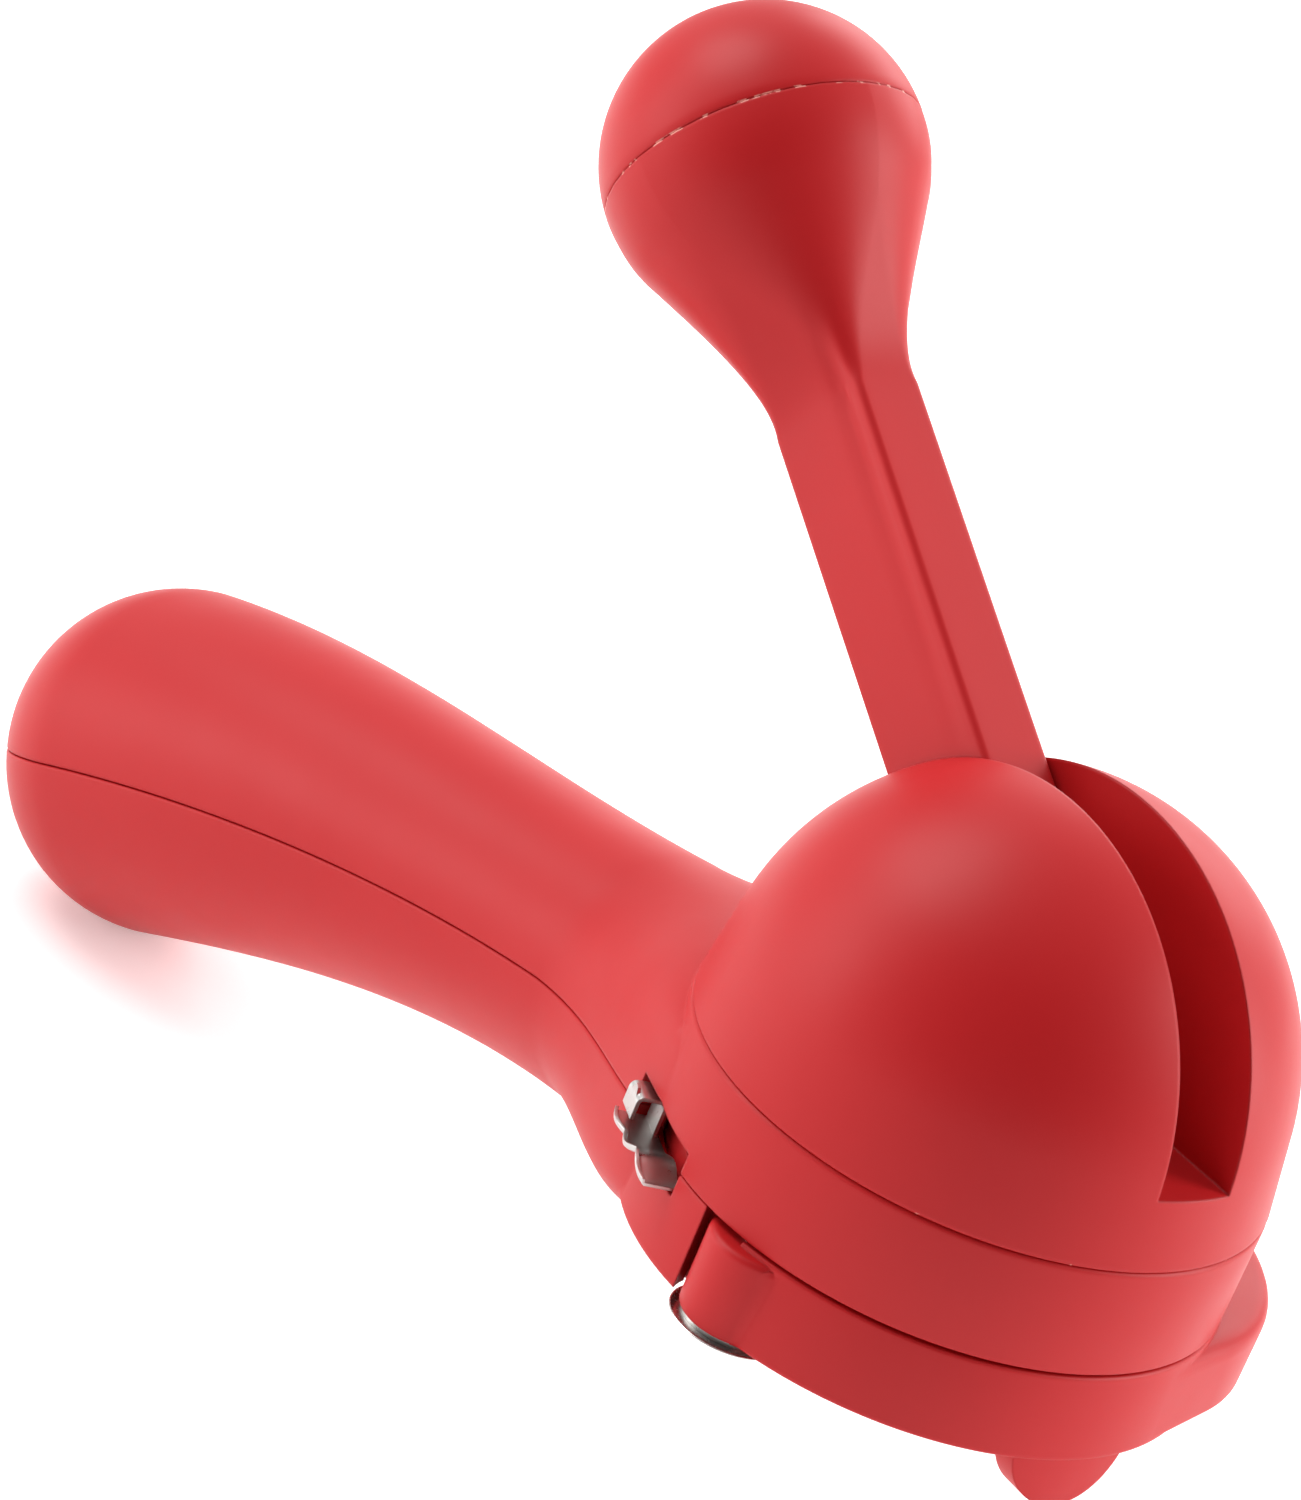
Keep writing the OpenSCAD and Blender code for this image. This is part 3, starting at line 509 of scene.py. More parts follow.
# %% [markdown]
# ## Round forms of the head
# The head's outlines are turned: the dome with its slightly flared foot, the space the dome
# stands in, and the slot that the lever sweeps through. They are functions with an inset, because
# the same outline makes the outside, the inside and the clearance round it.

# %% Dome and slot outlines
DOME_R = HEAD_R - 1
DOME_CZ = SEAM_Z + 33.5 - DOME_R
REST = 180 - REST_TILT
SLOT_W, TROUGH, SLOT_ROOM = 9.5, 1.6, 0.4
CHEEK_Y = SLOT_W / 2 + TROUGH
FOOT = degrees(atan2(SEAM_Z - DOME_CZ, HEAD_R) + acos(DOME_R / hypot(HEAD_R, SEAM_Z - DOME_CZ))) - 1


def dome_arc(inset, steps=48):
    """Skin of the dome from its foot on the seam up to its pole, moved in by inset"""
    foot = [(HEAD_R - inset / cos(radians(FOOT)), SEAM_Z)]
    angles = [mix(FOOT, 90, i / steps) for i in range(steps + 1)]
    return foot + [((DOME_R - inset) * cos(radians(a)), DOME_CZ + (DOME_R - inset) * sin(radians(a)))
        for a in angles[:-1]] + [(0, DOME_CZ + DOME_R - inset)]


def dome_solid(name, inset):
    return lathe(name, [(0, SEAM_Z)] + dome_arc(inset), 192)


def slot_tools(name, room, width):
    """The space that the lever sweeps: a round at the pivot and a wide fan above it"""
    half, far = LEVER_W / 2 + room, 2 * HEAD_R
    low, high = radians(REST - SWING), radians(REST)
    fan = [(0, 0), (half * sin(low), -half * cos(low)),
        (far * cos(low) + half * sin(low), far * sin(low) - half * cos(low)), (far, far), (-far, far),
        (far * cos(high) - half * sin(high), far * sin(high) + half * cos(high)),
        (-half * sin(high), half * cos(high))]
    eye = [((half + 0.1) * cos(2 * pi * i / 96), (half + 0.1) * sin(2 * pi * i / 96)) for i in range(96)]
    return [prism(name, [(x, PIVOT_Z + z) for x, z in outline], -width / 2, width / 2, "Y")
        for outline in (eye, fan)]


def cross_drum(name, r, y0, y1, x=0, z=PIVOT_Z, steps=48):
    """A round bar along Y"""
    return prism(name, [(x + r * cos(2 * pi * i / steps), z + r * sin(2 * pi * i / steps))
        for i in range(steps)], y0, y1, "Y")


HINGE_R, HINGE_AZ, CLIP_R, CLIP_AZ = HEAD_R - 3.6, -80, HEAD_R + 1.4, -114
HINGE = (HINGE_R * cos(radians(HINGE_AZ)), HINGE_R * sin(radians(HINGE_AZ)))
LEDGE_Z, LEDGE_T, CHAMBER_R, SLEEVE = SPLIT_Z + 2.5, 2, 17, 1.4
POST_RING = (HEAD_R - WALL + CHAMBER_R + SLEEVE) / 2 - 0.8
POSTS = [(POST_RING * cos(radians(a)), POST_RING * sin(radians(a))) for a in (38, 142, 218, 322)]
CLIP_Z = SPLIT_Z - 2.4
clip_at = Vector((CLIP_R * cos(radians(CLIP_AZ)), CLIP_R * sin(radians(CLIP_AZ)), 0)) * MM
CLIP_PLACE = Matrix.Translation(clip_at) @ Matrix.Rotation(radians(CLIP_AZ + 90), 4, "Z")


def clip_window():
    window = block("window", (-7.05, -6, CLIP_Z - 0.15), (7.05, 4.2, CLIP_Z + 4.75))
    window.data.transform(CLIP_PLACE)
    return window


print("dome foot at", round(FOOT, 1), "degrees, hinge at", [round(h, 1) for h in HINGE])

# %% [markdown]
# ## Upper shell
# One moulding: the fixed ring of the head, and the upper half of the handle that grows out of
# it. The ring is turned with rounded rims, joined to the half handle, and then bored and
# hollowed. A ledge inside carries the dome's screws, and a lug takes the ring's rivet.

# %% Upper shell
head_ring = soften([(0, SPLIT_Z, 0), (HEAD_R, SPLIT_Z, 0.3), (HEAD_R, SEAM_Z, 0.55), (0, SEAM_Z, 0)])
upper = carve(lathe("upper_shell", head_ring, 192), "UNION", half_handle("half", 1, 0))
carve(upper, "DIFFERENCE", half_hollow("hollow", 1, 3),
    drum("bore", HEAD_R - WALL, -20, SEAM_Z + 8, steps=192), dome_solid("dome_room", -0.15))
ledge = carve(drum("ledge", HEAD_R - WALL / 2, LEDGE_Z, LEDGE_Z + LEDGE_T, steps=120), "DIFFERENCE",
    drum("bore", CHAMBER_R + SLEEVE + 0.02, LEDGE_Z - 1, LEDGE_Z + LEDGE_T + 1, steps=120))
lug = carve(drum("lug", 4.4, SPLIT_Z, SEAM_Z - 4, HINGE), "INTERSECT",
    drum("inside", HEAD_R - WALL / 2, SPLIT_Z - 1, SEAM_Z, steps=120))
carve(upper, "UNION", ledge, lug)
carve(upper, "DIFFERENCE", drum("shank", 2.22, SPLIT_Z - 1, SPLIT_Z + 8.7, HINGE), clip_window(),
    *[drum("post", 1.6, LEDGE_Z - 1, LEDGE_Z + LEDGE_T + 1, at, 32) for at in POSTS],
    *[drum("pilot", 1.2, parting_z(b) - 1, parting_z(b) + 8, (-b, 0), 32) for b in SCREW_BACK])
finish(upper, "body", red_dome, "upper_shell")

# %% [markdown]
# ## Lower shell
# The lower half of the handle, with a thin wall that runs on round the back of the swing ring
# and stops at the hinge. Three deep screw bosses stand inside it.

# %% Lower shell
lower = half_handle("lower_shell", -1, -0.1)
carve(lower, "DIFFERENCE", half_hollow("hollow", -1, 4.4))
arc_top = SPLIT_Z - 0.1
arc = lathe("arc", soften([(0, 0, 0), (HEAD_R, 0, 0.6), (HEAD_R, arc_top, 0.3), (0, arc_top, 0)]), 192)
carve(arc, "INTERSECT", block("stretch", (-28, -60, -1), (4.24, -4, 20)))
carve(arc, "DIFFERENCE", half_handle("above", 1, -0.1))
carve(lower, "UNION", arc)
BOSS_R = 5.4
cuts = [drum("bay", HEAD_R - WALL - 0.1, -20, SPLIT_Z, steps=192),
    drum("boss", BOSS_R + GAP + 0.5, -5, 23, HINGE), clip_window()]
for b in SCREW_BACK:
    cuts += [drum("shank", 1.55, parting_z(b) - 60, parting_z(b) + 10, (-b, 0), 32),
        drum("head", 2.8, parting_z(b) - 66, parting_z(b) - 5, (-b, 0), 32)]
carve(lower, "DIFFERENCE", *cuts)
finish(lower, "body", red, "lower_shell")

# %% [markdown]
# ## Dome
# A turned shell, split by the slot that the lever sweeps through. A trough lines the slot, so
# that nothing falls into the works, and a spigot and four posts hold the dome on the ring. Its
# foot is rounded, which leaves a fine groove where it meets the ring.

# %% Dome
outer, inner = dome_arc(0), dome_arc(WALL)
foot_z = SEAM_Z + 0.01
skin = soften([(HEAD_R - WALL - 0.02, foot_z, 0), (HEAD_R, foot_z, 0.45), (*outer[1], 0)])
dome = lathe("dome_cover", skin + outer[2:] + inner[::-1][:-1], 192)
spigot = lathe("spigot", [(r, SEAM_Z + z) for r, z in ((26.1, -4), (27.7, -4), (27.7, 1), (26.1, 1))], 160)
trough = slot_tools("trough", SLOT_ROOM + TROUGH, 2 * CHEEK_Y)
carve(trough[0], "UNION", trough[1])
carve(trough[0], "INTERSECT", dome_solid("inside", WALL / 2))
carve(dome, "UNION", spigot, trough[0])
for at in POSTS:
    post = drum("post", 3, LEDGE_Z + LEDGE_T + 0.05, SEAM_Z + 30, at, 48)
    keep = carve(dome_solid("keep", WALL / 2), "UNION", drum("low", 27.2, 0, SEAM_Z + 1, steps=96))
    carve(dome, "UNION", carve(post, "INTERSECT", keep))
cuts = slot_tools("slot", SLOT_ROOM, SLOT_W) + [cross_drum("bush", 3.22, -7, 7)]
cuts += [drum("pilot", 1.2, LEDGE_Z, LEDGE_Z + 12, at, 32) for at in POSTS]
cuts += [drum("lug", 4.7, 0, SEAM_Z - 0.01, HINGE)]
PITCH_R, TOOTH, RACK_BACK = 4.5, 0.75, 2.6
GEAR_Y, GEAR_W, RACK_X = CHEEK_Y + 0.45, 3, PITCH_R + TOOTH + RACK_BACK
for side in (-1, 1):
    y = side * (GEAR_Y + GEAR_W / 2)
    cuts.append(block("works", (-RACK_X - 1, y - 1.9, PIVOT_Z - 4), (RACK_X + 1, y + 1.9, PIVOT_Z + 4)))
carve(dome, "DIFFERENCE", *cuts)
finish(dome, "body", red_dome, "dome_cover")

# %% [markdown]
# ## Lever
# A flat arm that melts into a ball. One row of sections does it: a rounded rectangle whose
# corners open up until it is a circle, and then the sphere itself, so there is no join to see.
# A shallow channel runs along each flat side next to the front edge, deepest near the ball.

# %% Lever arm and ball
START = 0.49 * BALL_R  # how far before the ball's middle the flare meets it
LEVER_PLACE = Matrix.Translation((0, 0, PIVOT_Z * MM)) @ Matrix.Rotation(radians(REST_TILT - 180), 4, "Y")
BALL_PLACE = LEVER_PLACE @ Matrix.Translation((LEVER_LEN * MM, 0, 0)) @ Matrix.Rotation(pi / 2, 4, "Y")


def arm_section(x, half_t, half_w, corner, channel, arc=10, side=14):
    """Rounded rectangle across the arm at x, with the channel sunk in both flat sides"""
    corner = min(corner, half_t, half_w)
    flat = []
    for quarter in range(4):
        sy, sz = ((1, 1), (-1, 1), (-1, -1), (1, -1))[quarter]
        cy, cz = sy * (half_t - corner), sz * (half_w - corner)
        for k in range(arc + 1):
            a = radians(90 * quarter + 90 * k / arc)
            flat.append((cy + corner * cos(a), cz + corner * sin(a)))
        ny, nz = ((-1, 1), (-1, -1), (1, -1), (1, 1))[quarter]
        a = radians(90 * quarter + 90)
        here = (cy + corner * cos(a), cz + corner * sin(a))
        there = (ny * (half_t - corner) + corner * cos(a), nz * (half_w - corner) + corner * sin(a))
        flat += [(mix(here[0], there[0], k / side), mix(here[1], there[1], k / side)) for k in range(1, side)]
    ring = []
    for y, z in flat:
        run = (z + half_w - 0.9) / 3.4
        if channel and 0 < run < 1 and abs(y) > half_t * 0.6:
            y -= channel * sin(pi * run) ** 2 * (1 if y > 0 else -1)
        ring.append((x, y, z))
    return ring


rings = []
for k in range(1, 15):
    a = radians(90 * k / 14)
    rings.append(arm_section(-LEVER_W / 2 * cos(a), LEVER_T / 2, max(LEVER_W / 2 * sin(a), 0.76), 0.7, 0))
straight = LEVER_LEN - START - FLARE
for k in range(1, 30):
    rings.append(arm_section(straight * k / 30, LEVER_T / 2, LEVER_W / 2, 0.7, 0.5 * (k / 30) ** 1.2))
ball_half = sqrt(BALL_R ** 2 - START ** 2)
for k in range(29):
    u = 1 - k / 29
    half_w = cubic(ball_half, LEVER_W / 2, -0.5 * FLARE, 0, u)
    half_t = cubic(ball_half, LEVER_T / 2, -0.5 * FLARE, 0, u)
    ease = u ** 2.2
    rings.append(arm_section(LEVER_LEN - START - FLARE * u, half_t, half_w,
        mix(min(half_t, half_w), 0.7, ease), 0.5 * max(0, 2 * u - 1)))
for k in range(13):
    x = -START + (START - 0.05) * k / 12
    r = sqrt(BALL_R ** 2 - x ** 2)
    rings.append(arm_section(LEVER_LEN + x, r, r, r - 0.02, 0))
rings.append(arm_section(LEVER_LEN - 0.03, BALL_R - 0.1, BALL_R - 0.1, BALL_R - 0.12, 0))
lever = loft("lever_arm", rings)
lever.data.transform(LEVER_PLACE)
plug_room = lathe("plug_room", [(0, -10), (7.52, -10), (7.52, -4.3), (11.02, -4.3), (11.02, 4), (0, 4)], 96)
plug_room.data.transform(BALL_PLACE)
shaft_hole = cross_drum("shaft_hole", 2.02, -8, 8, 0, 0)
flat = block("flat", (1.62, -9, -3), (4, 9, 3))
carve(shaft_hole, "DIFFERENCE", flat)
shaft_hole.data.transform(LEVER_PLACE)
carve(lever, "DIFFERENCE", plug_room, shaft_hole)
finish(lever, "lever", red_ball, "lever_arm")



def ball_arc(r, bearings):
    return [(r * cos(radians(a)), r * sin(radians(a))) for a in bearings]


inside = BALL_R - WALL
cap_outline = [(BALL_R - 0.1, 0.06)] + ball_arc(BALL_R, [1.2 + 2.96 * k for k in range(30)])
cap_outline += [(0, BALL_R), (0, inside)] + ball_arc(inside, range(86, 50, -4))
cap_outline += [(9.4, 10.2), (9.4, -4), (11, -4), (11, 8.6)]  # the plug that fits in the lever's half
cap_outline += ball_arc(inside, (34, 20, 8)) + [(inside, 0.06)]
cap = lathe("ball_cap", cap_outline, 160)
cap.data.transform(BALL_PLACE)
finish(cap, "lever", red_ball, "ball_cap")

# %% [markdown]
# ## Swing ring
# The ring that carries the strainer. Behind it is round, to turn inside the shell; in front it
# is the outside of the head, with a broad finger lip on the far side, a thumb tab underneath and
# a boss for the hinge. A concave blend ties the boss to the ring, as in any moulding that is
# pulled on there. The wall leans out a little towards the bottom, so that it leaves the mould.

# %% Ring carrier
BACK_R, OUTLET_R, LIP_R, DRAFT = HEAD_R - WALL - 0.4, 18, 25, 0.6
STRAINER_Z, SEAT_R = RING_H - 1.8, 19.4


def sector(name, first, last, low, high, centre=(0, 0)):
    """Wedge between two bearings, for cutting a turned form"""
    bearings = [radians(mix(first, last, k / 6)) for k in range(7)]
    outline = [(0, 0)] + [(90 * cos(a), 90 * sin(a)) for a in bearings]
    return prism(name, [(centre[0] + x, centre[1] + y) for x, y in outline], low, high)


def drafted_r(z):
    """Radius of the ring's outer wall at height z"""
    return HEAD_R + DRAFT * (1 - z / RING_H)


def turned_wall(name, low_r, high_r, low_round, high_round):
    outline = [(0, 0, 0), (low_r, 0, low_round), (high_r, RING_H, high_round), (0, RING_H, 0)]
    return lathe(name, soften(outline), 192)


carrier = turned_wall("ring_carrier", BACK_R, BACK_R, 0.4, 0.3)
front = turned_wall("front", HEAD_R + DRAFT, HEAD_R, 0.5, 0.4)
carve(front, "INTERSECT", sector("sector", -80, 99, -1, 20))
# the lip grows out of the ring along their common tangent, so each level joins two arcs
lip_at = Vector((2.1, HEAD_R - 17.7))
levels = soften([(0.5, 0.02, 0), (0, 0.5, 0.3), (0, RING_H - 1.5, 0.9), (1, RING_H - 0.5, 0.9),
    (8, RING_H - 0.32, 0)])
rings = []
for inset, z in levels:
    wall_r, lip_r = drafted_r(z) - 0.02 - inset, LIP_R - inset
    meet = atan2(lip_at.y, lip_at.x) - acos((wall_r - lip_r) / lip_at.length)
    ring = [(0, 12, z)]
    ring += [(wall_r * cos(a), wall_r * sin(a), z) for a in (meet - 0.05, meet)]
    ring += [(lip_at.x + lip_r * cos(a), lip_at.y + lip_r * sin(a), z)
        for a in [mix(meet, radians(135), k / 90) for k in range(91)]]
    rings.append(ring)
finger_lip = loft("lip", rings)
carve(finger_lip, "INTERSECT", sector("sector", 5, 97, -1, 20))
boss_top = RING_H - 0.4
boss_outline = soften([(0, 0, 0), (BOSS_R, 0, 0.3), (BOSS_R, boss_top, 0.8), (0, boss_top, 0)])
boss = lathe("boss", boss_outline, 96, HINGE)
BLEND = 4  # radius of the concave blend, which touches both the boss and the ring's wall


def blend_outline(wall_r):
    reach, a, b = hypot(*HINGE), BOSS_R + BLEND, wall_r + BLEND
    along = (b * b - a * a + reach * reach) / (2 * reach)
    way = Vector(HINGE).normalized()
    centre = way * along + Vector((-way.y, way.x)) * sqrt(b * b - along * along)
    first = Vector(HINGE) - centre
    turn = atan2(first.cross(-centre), first.dot(-centre))
    arc = [centre + Matrix.Rotation(turn * k / 16, 2) @ (first.normalized() * BLEND) for k in range(17)]
    return [Vector(HINGE) * 0.8] + arc


rings = [[(*p, z) for p in blend_outline(drafted_r(z) - 0.03 - cut)]
    for z, cut in ((0.05, 0.4), (0.5, 0), (RING_H - 1.4, 0), (RING_H - 0.9, 0.12), (RING_H - 0.6, 0.5))]
web = loft("web", rings)
# the tab is a circle's lower part, drawn on the ring's wall
TAB_HALF, TAB_DROP, TAB_SIDE = 6.6, 5.3, 2.5
tab_r = (TAB_HALF ** 2 + TAB_DROP ** 2) / (2 * TAB_DROP)
tab_turns = [2 * pi * k / 128 for k in range(128)]
tab = prism("tab", [(TAB_SIDE + tab_r * cos(a), tab_r - TAB_DROP + tab_r * sin(a)) for a in tab_turns],
    10, 60, "Y")
tab.data.transform(Matrix.Rotation(-pi / 2, 4, "Z"))
tab_in, tab_out = HEAD_R - WALL, HEAD_R + 0.4
carve(tab, "INTERSECT", lathe("tab_wall", soften([(tab_in, -5.4, 0), (tab_out, -5.4, 0.5),
    (tab_out, 1, 0), (tab_in, 1, 0)]), 192))
carve(carrier, "UNION", front, finger_lip, boss, web, tab)
coring = carve(drum("coring", BACK_R - 1.8, -1, RING_H - 2.4, steps=128), "DIFFERENCE",
    drum("core", OUTLET_R + 1.8, -2, RING_H, steps=128), drum("boss", BOSS_R, -2, RING_H, HINGE))
for bearing in range(10, 331, 40):
    rib = block("rib", (0, -0.7, -2), (HEAD_R, 0.7, RING_H))
    rib.data.transform(Matrix.Rotation(radians(bearing), 4, "Z"))
    carve(coring, "DIFFERENCE", rib)
notch = block("notch", (-7.75, 0, CLIP_Z - 0.3), (7.75, 4.2, CLIP_Z + 8.7))
notch.data.transform(CLIP_PLACE)
carve(carrier, "DIFFERENCE", drum("outlet", OUTLET_R, -7, RING_H + 2, steps=160),
    drum("seat", SEAT_R, STRAINER_Z, RING_H + 9, steps=160), coring,
    drum("rivet", 2.25, -1, RING_H + 1, HINGE), notch)
finish(carrier, "swing_ring", red, "ring_carrier")

# %% [markdown]
# ## Hinge rivet
# The ring turns on one steel rivet. Its broad domed head closes on a washer under the boss.

# %% Rivet
DOMED_R, HEAD_T, HEAD_TOP, SHANK_R, SHANK_END = 11.4, 1.9, -0.5, 2.2, 19.6
dome_middle = DOMED_R - HEAD_T + HEAD_TOP
head = [(DOMED_R * sin(radians(a)), dome_middle - DOMED_R * cos(radians(a)))
    for a in [31 * k / 14 for k in range(15)]]
head += [(6.12, -0.66), (6.15, -0.56), (6.05, HEAD_TOP)]
shank = [(SHANK_R, HEAD_TOP), (SHANK_R, SHANK_END), (0, SHANK_END)]
rivet = lathe("pivot_rivet", head + shank, 96, HINGE)
finish(rivet, "body", turned_steel, "pivot_rivet", slot="steel")

# %% [markdown]
# ## Detent spring
# A stamped leaf, folded up into a small channel, that clicks into the ring. Its edge shows at
# the parting line. Thin sheet is made as a surface and given its gauge afterwards.

# %% Detent spring
def sheet(name, rows, gauge):
    """Sheet metal through rows of points, of the gauge given"""
    n = len(rows[0])
    points = [p for row in rows for p in row]
    faces = [[j * n + i, j * n + i + 1, (j + 1) * n + i + 1, (j + 1) * n + i]
        for j in range(len(rows) - 1) for i in range(n - 1)]
    obj = solid(name, points, faces)
    gauged = obj.modifiers.new("gauge", "SOLIDIFY")
    gauged.thickness, gauged.offset = gauge * MM, 0
    return settle(obj)


fold_path = soften([(2.6, CLIP_Z + 0.4, 0), (2.6, CLIP_Z + 4, 0.8), (-0.3, CLIP_Z + 4, 0.7),
    (-0.3, CLIP_Z + 1.6, 0)], 6)
fold = sheet("detent_spring", [[(-6.3 + 0.3 * k, y, z) for y, z in fold_path] for k in range(12)], 0.4)
rows = []
for k in range(61):
    u = -6.5 + 13 * k / 60
    edge = -0.75 - 0.5 * abs(sin(pi * (u + 6.5) / 4.3))
    crown = 1.0 * sin(pi * max(0, u + 0.5) / 7) ** 2
    row = [(u, 3 - (3 - edge) * v, CLIP_Z + 0.25 + crown) for v in [j / 12 for j in range(12)]]
    row += [(u, edge + 0.15 - 0.12 * sin(pi * j / 8), CLIP_Z + 0.25 + crown + 0.14 * j) for j in range(1, 5)]
    rows.append(row)
leaf = sheet("leaf", rows, 0.35)
point_outline = [(-5.6, 3.6), (-3.6, 3.6), (-4.2, 4.5), (-4.9, 4.6)]
point = prism("point", [(u, CLIP_Z + h) for u, h in point_outline], -0.45, -0.1, "Y")
for part in (leaf, point):
    joined = bmesh.new()
    joined.from_mesh(fold.data)
    joined.from_mesh(part.data)
    joined.to_mesh(fold.data)
    joined.free()
    bpy.data.objects.remove(part)
fold.data.transform(CLIP_PLACE)
finish(fold, "body", sheet_steel, "detent_spring", slot="steel")

# %% [markdown]
# ## Screws and strainer holes
# Things that repeat are laid out by Geometry Nodes. One tree builds a pan-head screw from its
# sizes and stands a copy on every point that it is given. Another pierces the strainer: it lays
# a grid of points, shifts every other row by half a pitch, keeps those inside the round, and
# cuts a hole at each. Both end in a plain mesh, because instances don't survive an export.

# %% Screw tree
def tree_with(name, sockets):
    tree = bpy.data.node_groups.new(name, "GeometryNodeTree")
    tree.interface.new_socket("Geometry", in_out="INPUT", socket_type="NodeSocketGeometry")
    ids = {}
    for label, kind in sockets:
        ids[label] = tree.interface.new_socket(label, in_out="INPUT", socket_type=kind).identifier
    tree.interface.new_socket("Geometry", in_out="OUTPUT", socket_type="NodeSocketGeometry")
    return tree, ids, add(tree, "NodeGroupInput")


def lay_out(name, points, tree, ids, values):
    mesh = bpy.data.meshes.new(name)
    mesh.from_pydata([Vector(p) * MM for p in points], [], [])
    obj = bpy.data.objects.new(name, mesh)
    scene.collection.objects.link(obj)
    layer = obj.modifiers.new(tree.name, "NODES")
    layer.node_group = tree
    for label, value in values.items():
        layer[ids[label]] = value
    return settle(obj)


screw_tree, screw_ids, given = tree_with("pan_head_screws", [("Head radius", "NodeSocketFloat"),
    ("Head height", "NodeSocketFloat"), ("Shank radius", "NodeSocketFloat"), ("Length", "NodeSocketFloat"),
    ("Recess", "NodeSocketFloat"), ("Finish", "NodeSocketMaterial")])
tree = screw_tree
half = add(tree, "ShaderNodeMath", {0: given.outputs["Head height"], 1: 0.5}, operation="MULTIPLY").outputs[0]
down = add(tree, "ShaderNodeMath", {0: given.outputs["Head height"], 1: -1}, operation="MULTIPLY").outputs[0]
small = add(tree, "ShaderNodeMath", {0: given.outputs["Head radius"], 1: 0.8},
    operation="MULTIPLY").outputs[0]
pan = add(tree, "GeometryNodeMeshCone", {"Vertices": 40, "Radius Top": given.outputs["Head radius"],
    "Radius Bottom": small, "Depth": given.outputs["Head height"]})
pan_at = add(tree, "GeometryNodeTransform", {"Geometry": pan.outputs["Mesh"],
    "Translation": add(tree, "ShaderNodeCombineXYZ", {"Z": down}).outputs[0]})
shank = add(tree, "GeometryNodeMeshCylinder", {"Vertices": 28, "Radius": given.outputs["Shank radius"],
    "Depth": given.outputs["Length"]})
middle = add(tree, "ShaderNodeMath", {0: given.outputs["Length"], 1: 0.499}, operation="MULTIPLY").outputs[0]
shank_at = add(tree, "GeometryNodeTransform", {"Geometry": shank.outputs["Mesh"],
    "Translation": add(tree, "ShaderNodeCombineXYZ", {"Z": middle}).outputs[0]})
whole = add(tree, "GeometryNodeMeshBoolean", operation="UNION", solver="EXACT")
tree.links.new(pan_at.outputs[0], whole.inputs["Mesh 2"])
tree.links.new(shank_at.outputs[0], whole.inputs["Mesh 2"])
wide = add(tree, "ShaderNodeMath", {0: given.outputs["Recess"], 1: 4}, operation="MULTIPLY").outputs[0]
cross = add(tree, "GeometryNodeMeshBoolean", {"Mesh 1": whole.outputs["Mesh"]},
    operation="DIFFERENCE", solver="EXACT")
for across, along in (("X", "Y"), ("Y", "X")):
    bar = add(tree, "GeometryNodeMeshCube", {"Size": add(tree, "ShaderNodeCombineXYZ", {
        across: wide, along: given.outputs["Recess"], "Z": given.outputs["Head height"]}).outputs[0]})
    bar_at = add(tree, "GeometryNodeTransform", {"Geometry": bar.outputs["Mesh"],
        "Translation": add(tree, "ShaderNodeCombineXYZ", {"Z": down}).outputs[0]})
    tree.links.new(bar_at.outputs[0], cross.inputs["Mesh 2"])
copies = add(tree, "GeometryNodeInstanceOnPoints", {"Points": given.outputs["Geometry"],
    "Instance": cross.outputs["Mesh"]})
real = add(tree, "GeometryNodeRealizeInstances", {"Geometry": copies.outputs[0]})
dressed = add(tree, "GeometryNodeSetMaterial", {"Geometry": real.outputs[0],
    "Material": given.outputs["Finish"]})
add(tree, "NodeGroupOutput", {"Geometry": dressed.outputs[0]})
print("screw tree with", len(tree.nodes), "nodes")

# %% Screws on their points
rack_points = [(RACK_X + dx, side * (GEAR_Y + GEAR_W / 2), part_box("plunger")[0].z / MM + 1.1)
    for side in (-1, 1) for dx in (-8.6, -1.4)]
for name, points, body, values in (
        ("shell_screws", [(-b, 0, parting_z(b) - 5) for b in SCREW_BACK], "body", (2.4, 1.8, 1.18, 11, 0.6)),
        ("dome_screws", [(x, y, SPLIT_Z + 1.5) for x, y in POSTS], "body", (2.3, 1.3, 1.18, 11, 0.6)),
        ("rack_screws", rack_points, "press", (1.5, 1, 0.78, 2.4, 0.4))):
    labels = ("Head radius", "Head height", "Shank radius", "Length", "Recess")
    sizes = {label: value * MM for label, value in zip(labels, values)}
    made = lay_out(name, points, screw_tree, screw_ids, {**sizes, "Finish": turned_steel})
    finish(made, body, turned_steel, name, slot="steel")

# %% Strainer tree
plate_tree, plate_ids, given = tree_with("pierced_plate", [("Radius", "NodeSocketFloat"),
    ("Thickness", "NodeSocketFloat"), ("Hole diameter", "NodeSocketFloat"), ("Pitch", "NodeSocketFloat"),
    ("Field radius", "NodeSocketFloat"), ("Height", "NodeSocketFloat"), ("Finish", "NodeSocketMaterial")])
tree = plate_tree
COUNT = 15  # points each way, enough to cover the plate
span = add(tree, "ShaderNodeMath", {0: given.outputs["Pitch"], 1: COUNT - 1}, operation="MULTIPLY").outputs[0]
row = add(tree, "ShaderNodeMath", {0: given.outputs["Pitch"], 1: sin(radians(60))},
    operation="MULTIPLY").outputs[0]
depth = add(tree, "ShaderNodeMath", {0: row, 1: COUNT - 1}, operation="MULTIPLY").outputs[0]
grid = add(tree, "GeometryNodeMeshGrid", {"Size X": span, "Size Y": depth, "Vertices X": COUNT,
    "Vertices Y": COUNT})
place = add(tree, "ShaderNodeSeparateXYZ", {0: add(tree, "GeometryNodeInputPosition").outputs[0]})
number = add(tree, "ShaderNodeMath", {0: place.outputs["Y"], 1: row}, operation="DIVIDE").outputs[0]
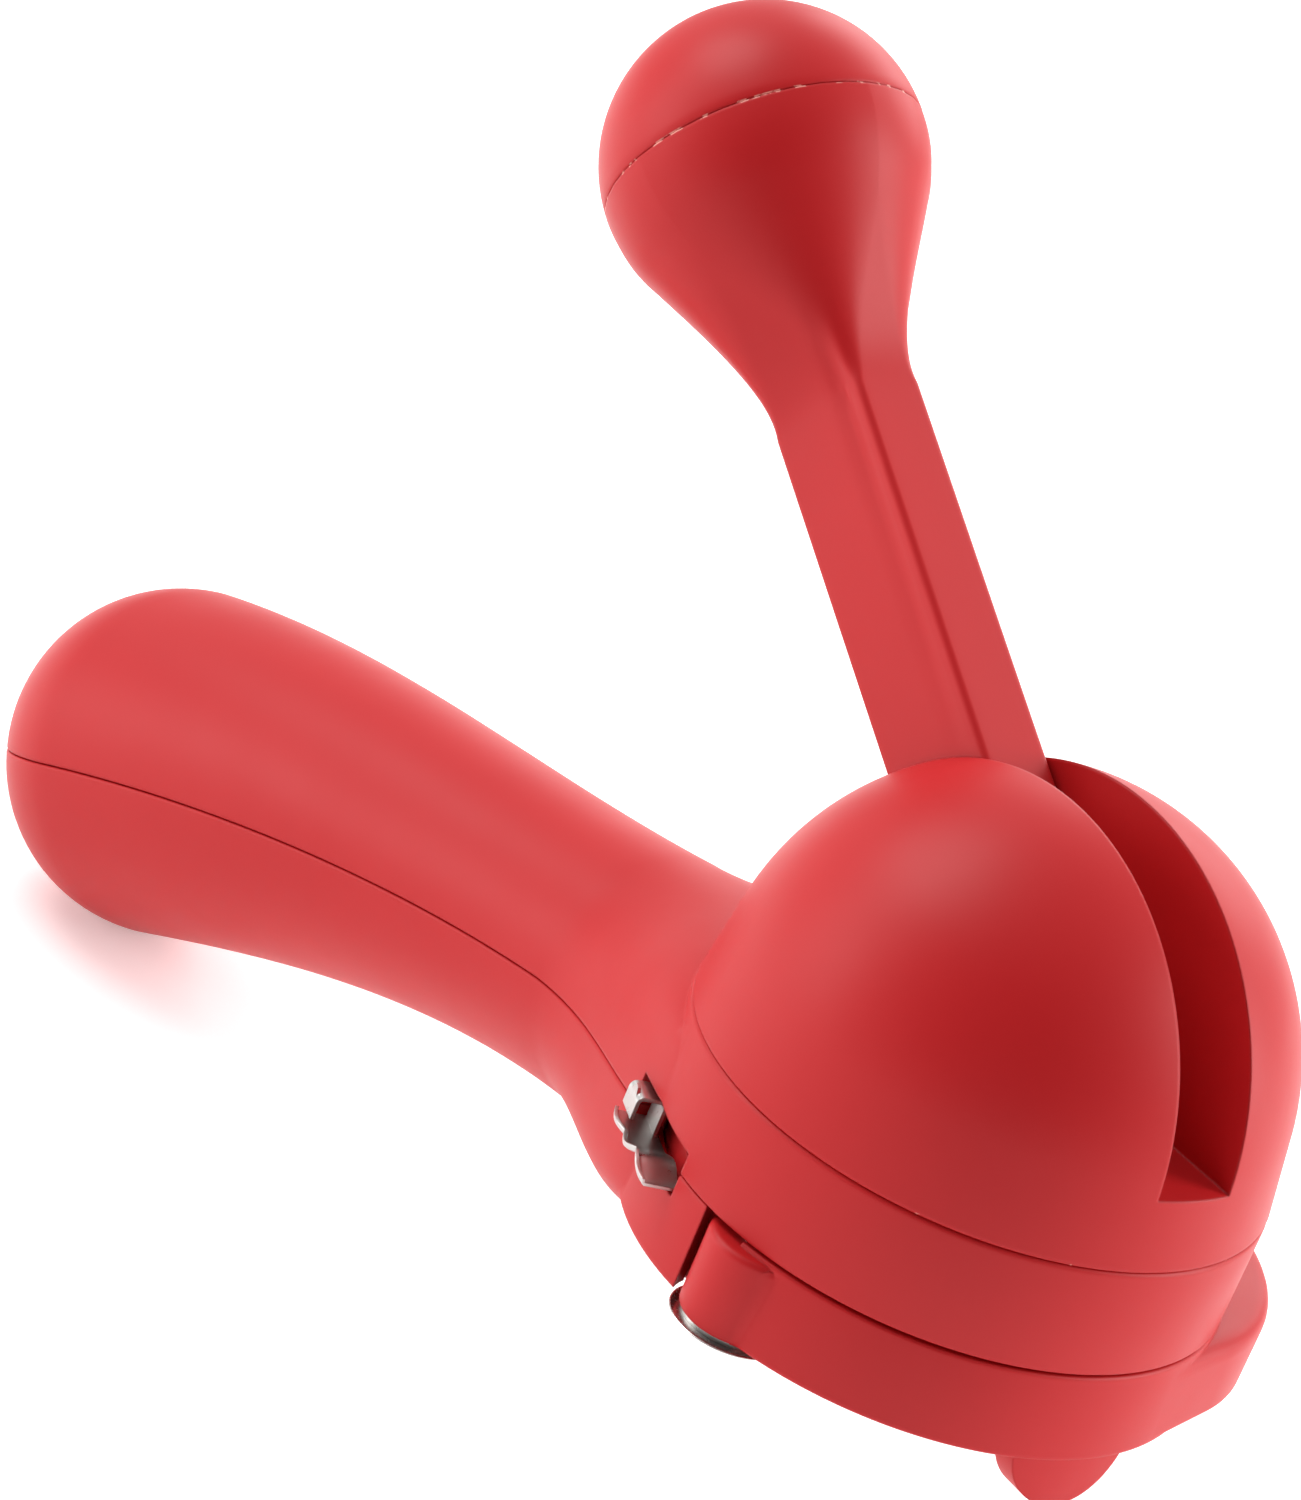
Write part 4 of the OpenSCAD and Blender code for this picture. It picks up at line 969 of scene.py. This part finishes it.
number = add(tree, "ShaderNodeMath", {0: number}, operation="ROUND").outputs[0]
odd = add(tree, "ShaderNodeMath", {0: number, 1: 2}, operation="FLOORED_MODULO").outputs[0]
shift = add(tree, "ShaderNodeMath", {0: given.outputs["Pitch"], 1: 0.5}, operation="MULTIPLY").outputs[0]
shift = add(tree, "ShaderNodeMath", {0: odd, 1: shift}, operation="MULTIPLY").outputs[0]
shifted = add(tree, "GeometryNodeSetPosition", {"Geometry": grid.outputs["Mesh"],
    "Offset": add(tree, "ShaderNodeCombineXYZ", {"X": shift}).outputs[0]})
length = add(tree, "ShaderNodeVectorMath", {0: add(tree, "GeometryNodeInputPosition").outputs[0]},
    operation="LENGTH")
outside = add(tree, "FunctionNodeCompare", {0: length.outputs["Value"],
    1: given.outputs["Field radius"]}, operation="GREATER_EQUAL")
field = add(tree, "GeometryNodeDeleteGeometry", {"Geometry": shifted.outputs[0],
    "Selection": outside.outputs[0]})
hole_r = add(tree, "ShaderNodeMath", {0: given.outputs["Hole diameter"], 1: 0.5},
    operation="MULTIPLY").outputs[0]
deep = add(tree, "ShaderNodeMath", {0: given.outputs["Thickness"], 1: 3}, operation="MULTIPLY").outputs[0]
punch = add(tree, "GeometryNodeMeshCylinder", {"Vertices": 20, "Radius": hole_r, "Depth": deep})
punches = add(tree, "GeometryNodeInstanceOnPoints", {"Points": field.outputs[0],
    "Instance": punch.outputs["Mesh"]})
punches = add(tree, "GeometryNodeRealizeInstances", {"Geometry": punches.outputs[0]})
plate = add(tree, "GeometryNodeMeshCylinder", {"Vertices": 160, "Radius": given.outputs["Radius"],
    "Depth": given.outputs["Thickness"]})
pierced = add(tree, "GeometryNodeMeshBoolean", {"Mesh 1": plate.outputs["Mesh"]},
    operation="DIFFERENCE", solver="EXACT")
tree.links.new(punches.outputs[0], pierced.inputs["Mesh 2"])
raised = add(tree, "GeometryNodeTransform", {"Geometry": pierced.outputs["Mesh"],
    "Translation": add(tree, "ShaderNodeCombineXYZ", {"Z": given.outputs["Height"]}).outputs[0]})
real = add(tree, "GeometryNodeRealizeInstances", {"Geometry": raised.outputs[0]})
dressed = add(tree, "GeometryNodeSetMaterial", {"Geometry": real.outputs[0],
    "Material": given.outputs["Finish"]})
add(tree, "NodeGroupOutput", {"Geometry": dressed.outputs[0]})
strainer = lay_out("strainer_plate", [(0, 0, 0)], plate_tree, plate_ids, {
    "Radius": (SEAT_R - 0.02) * MM, "Thickness": 0.8 * MM, "Hole diameter": 1.7 * MM, "Pitch": 3 * MM,
    "Field radius": 16.6 * MM, "Height": (STRAINER_Z + 0.4) * MM, "Finish": sheet_steel})
finish(strainer, "swing_ring", sheet_steel, "strainer_plate", slot="steel")
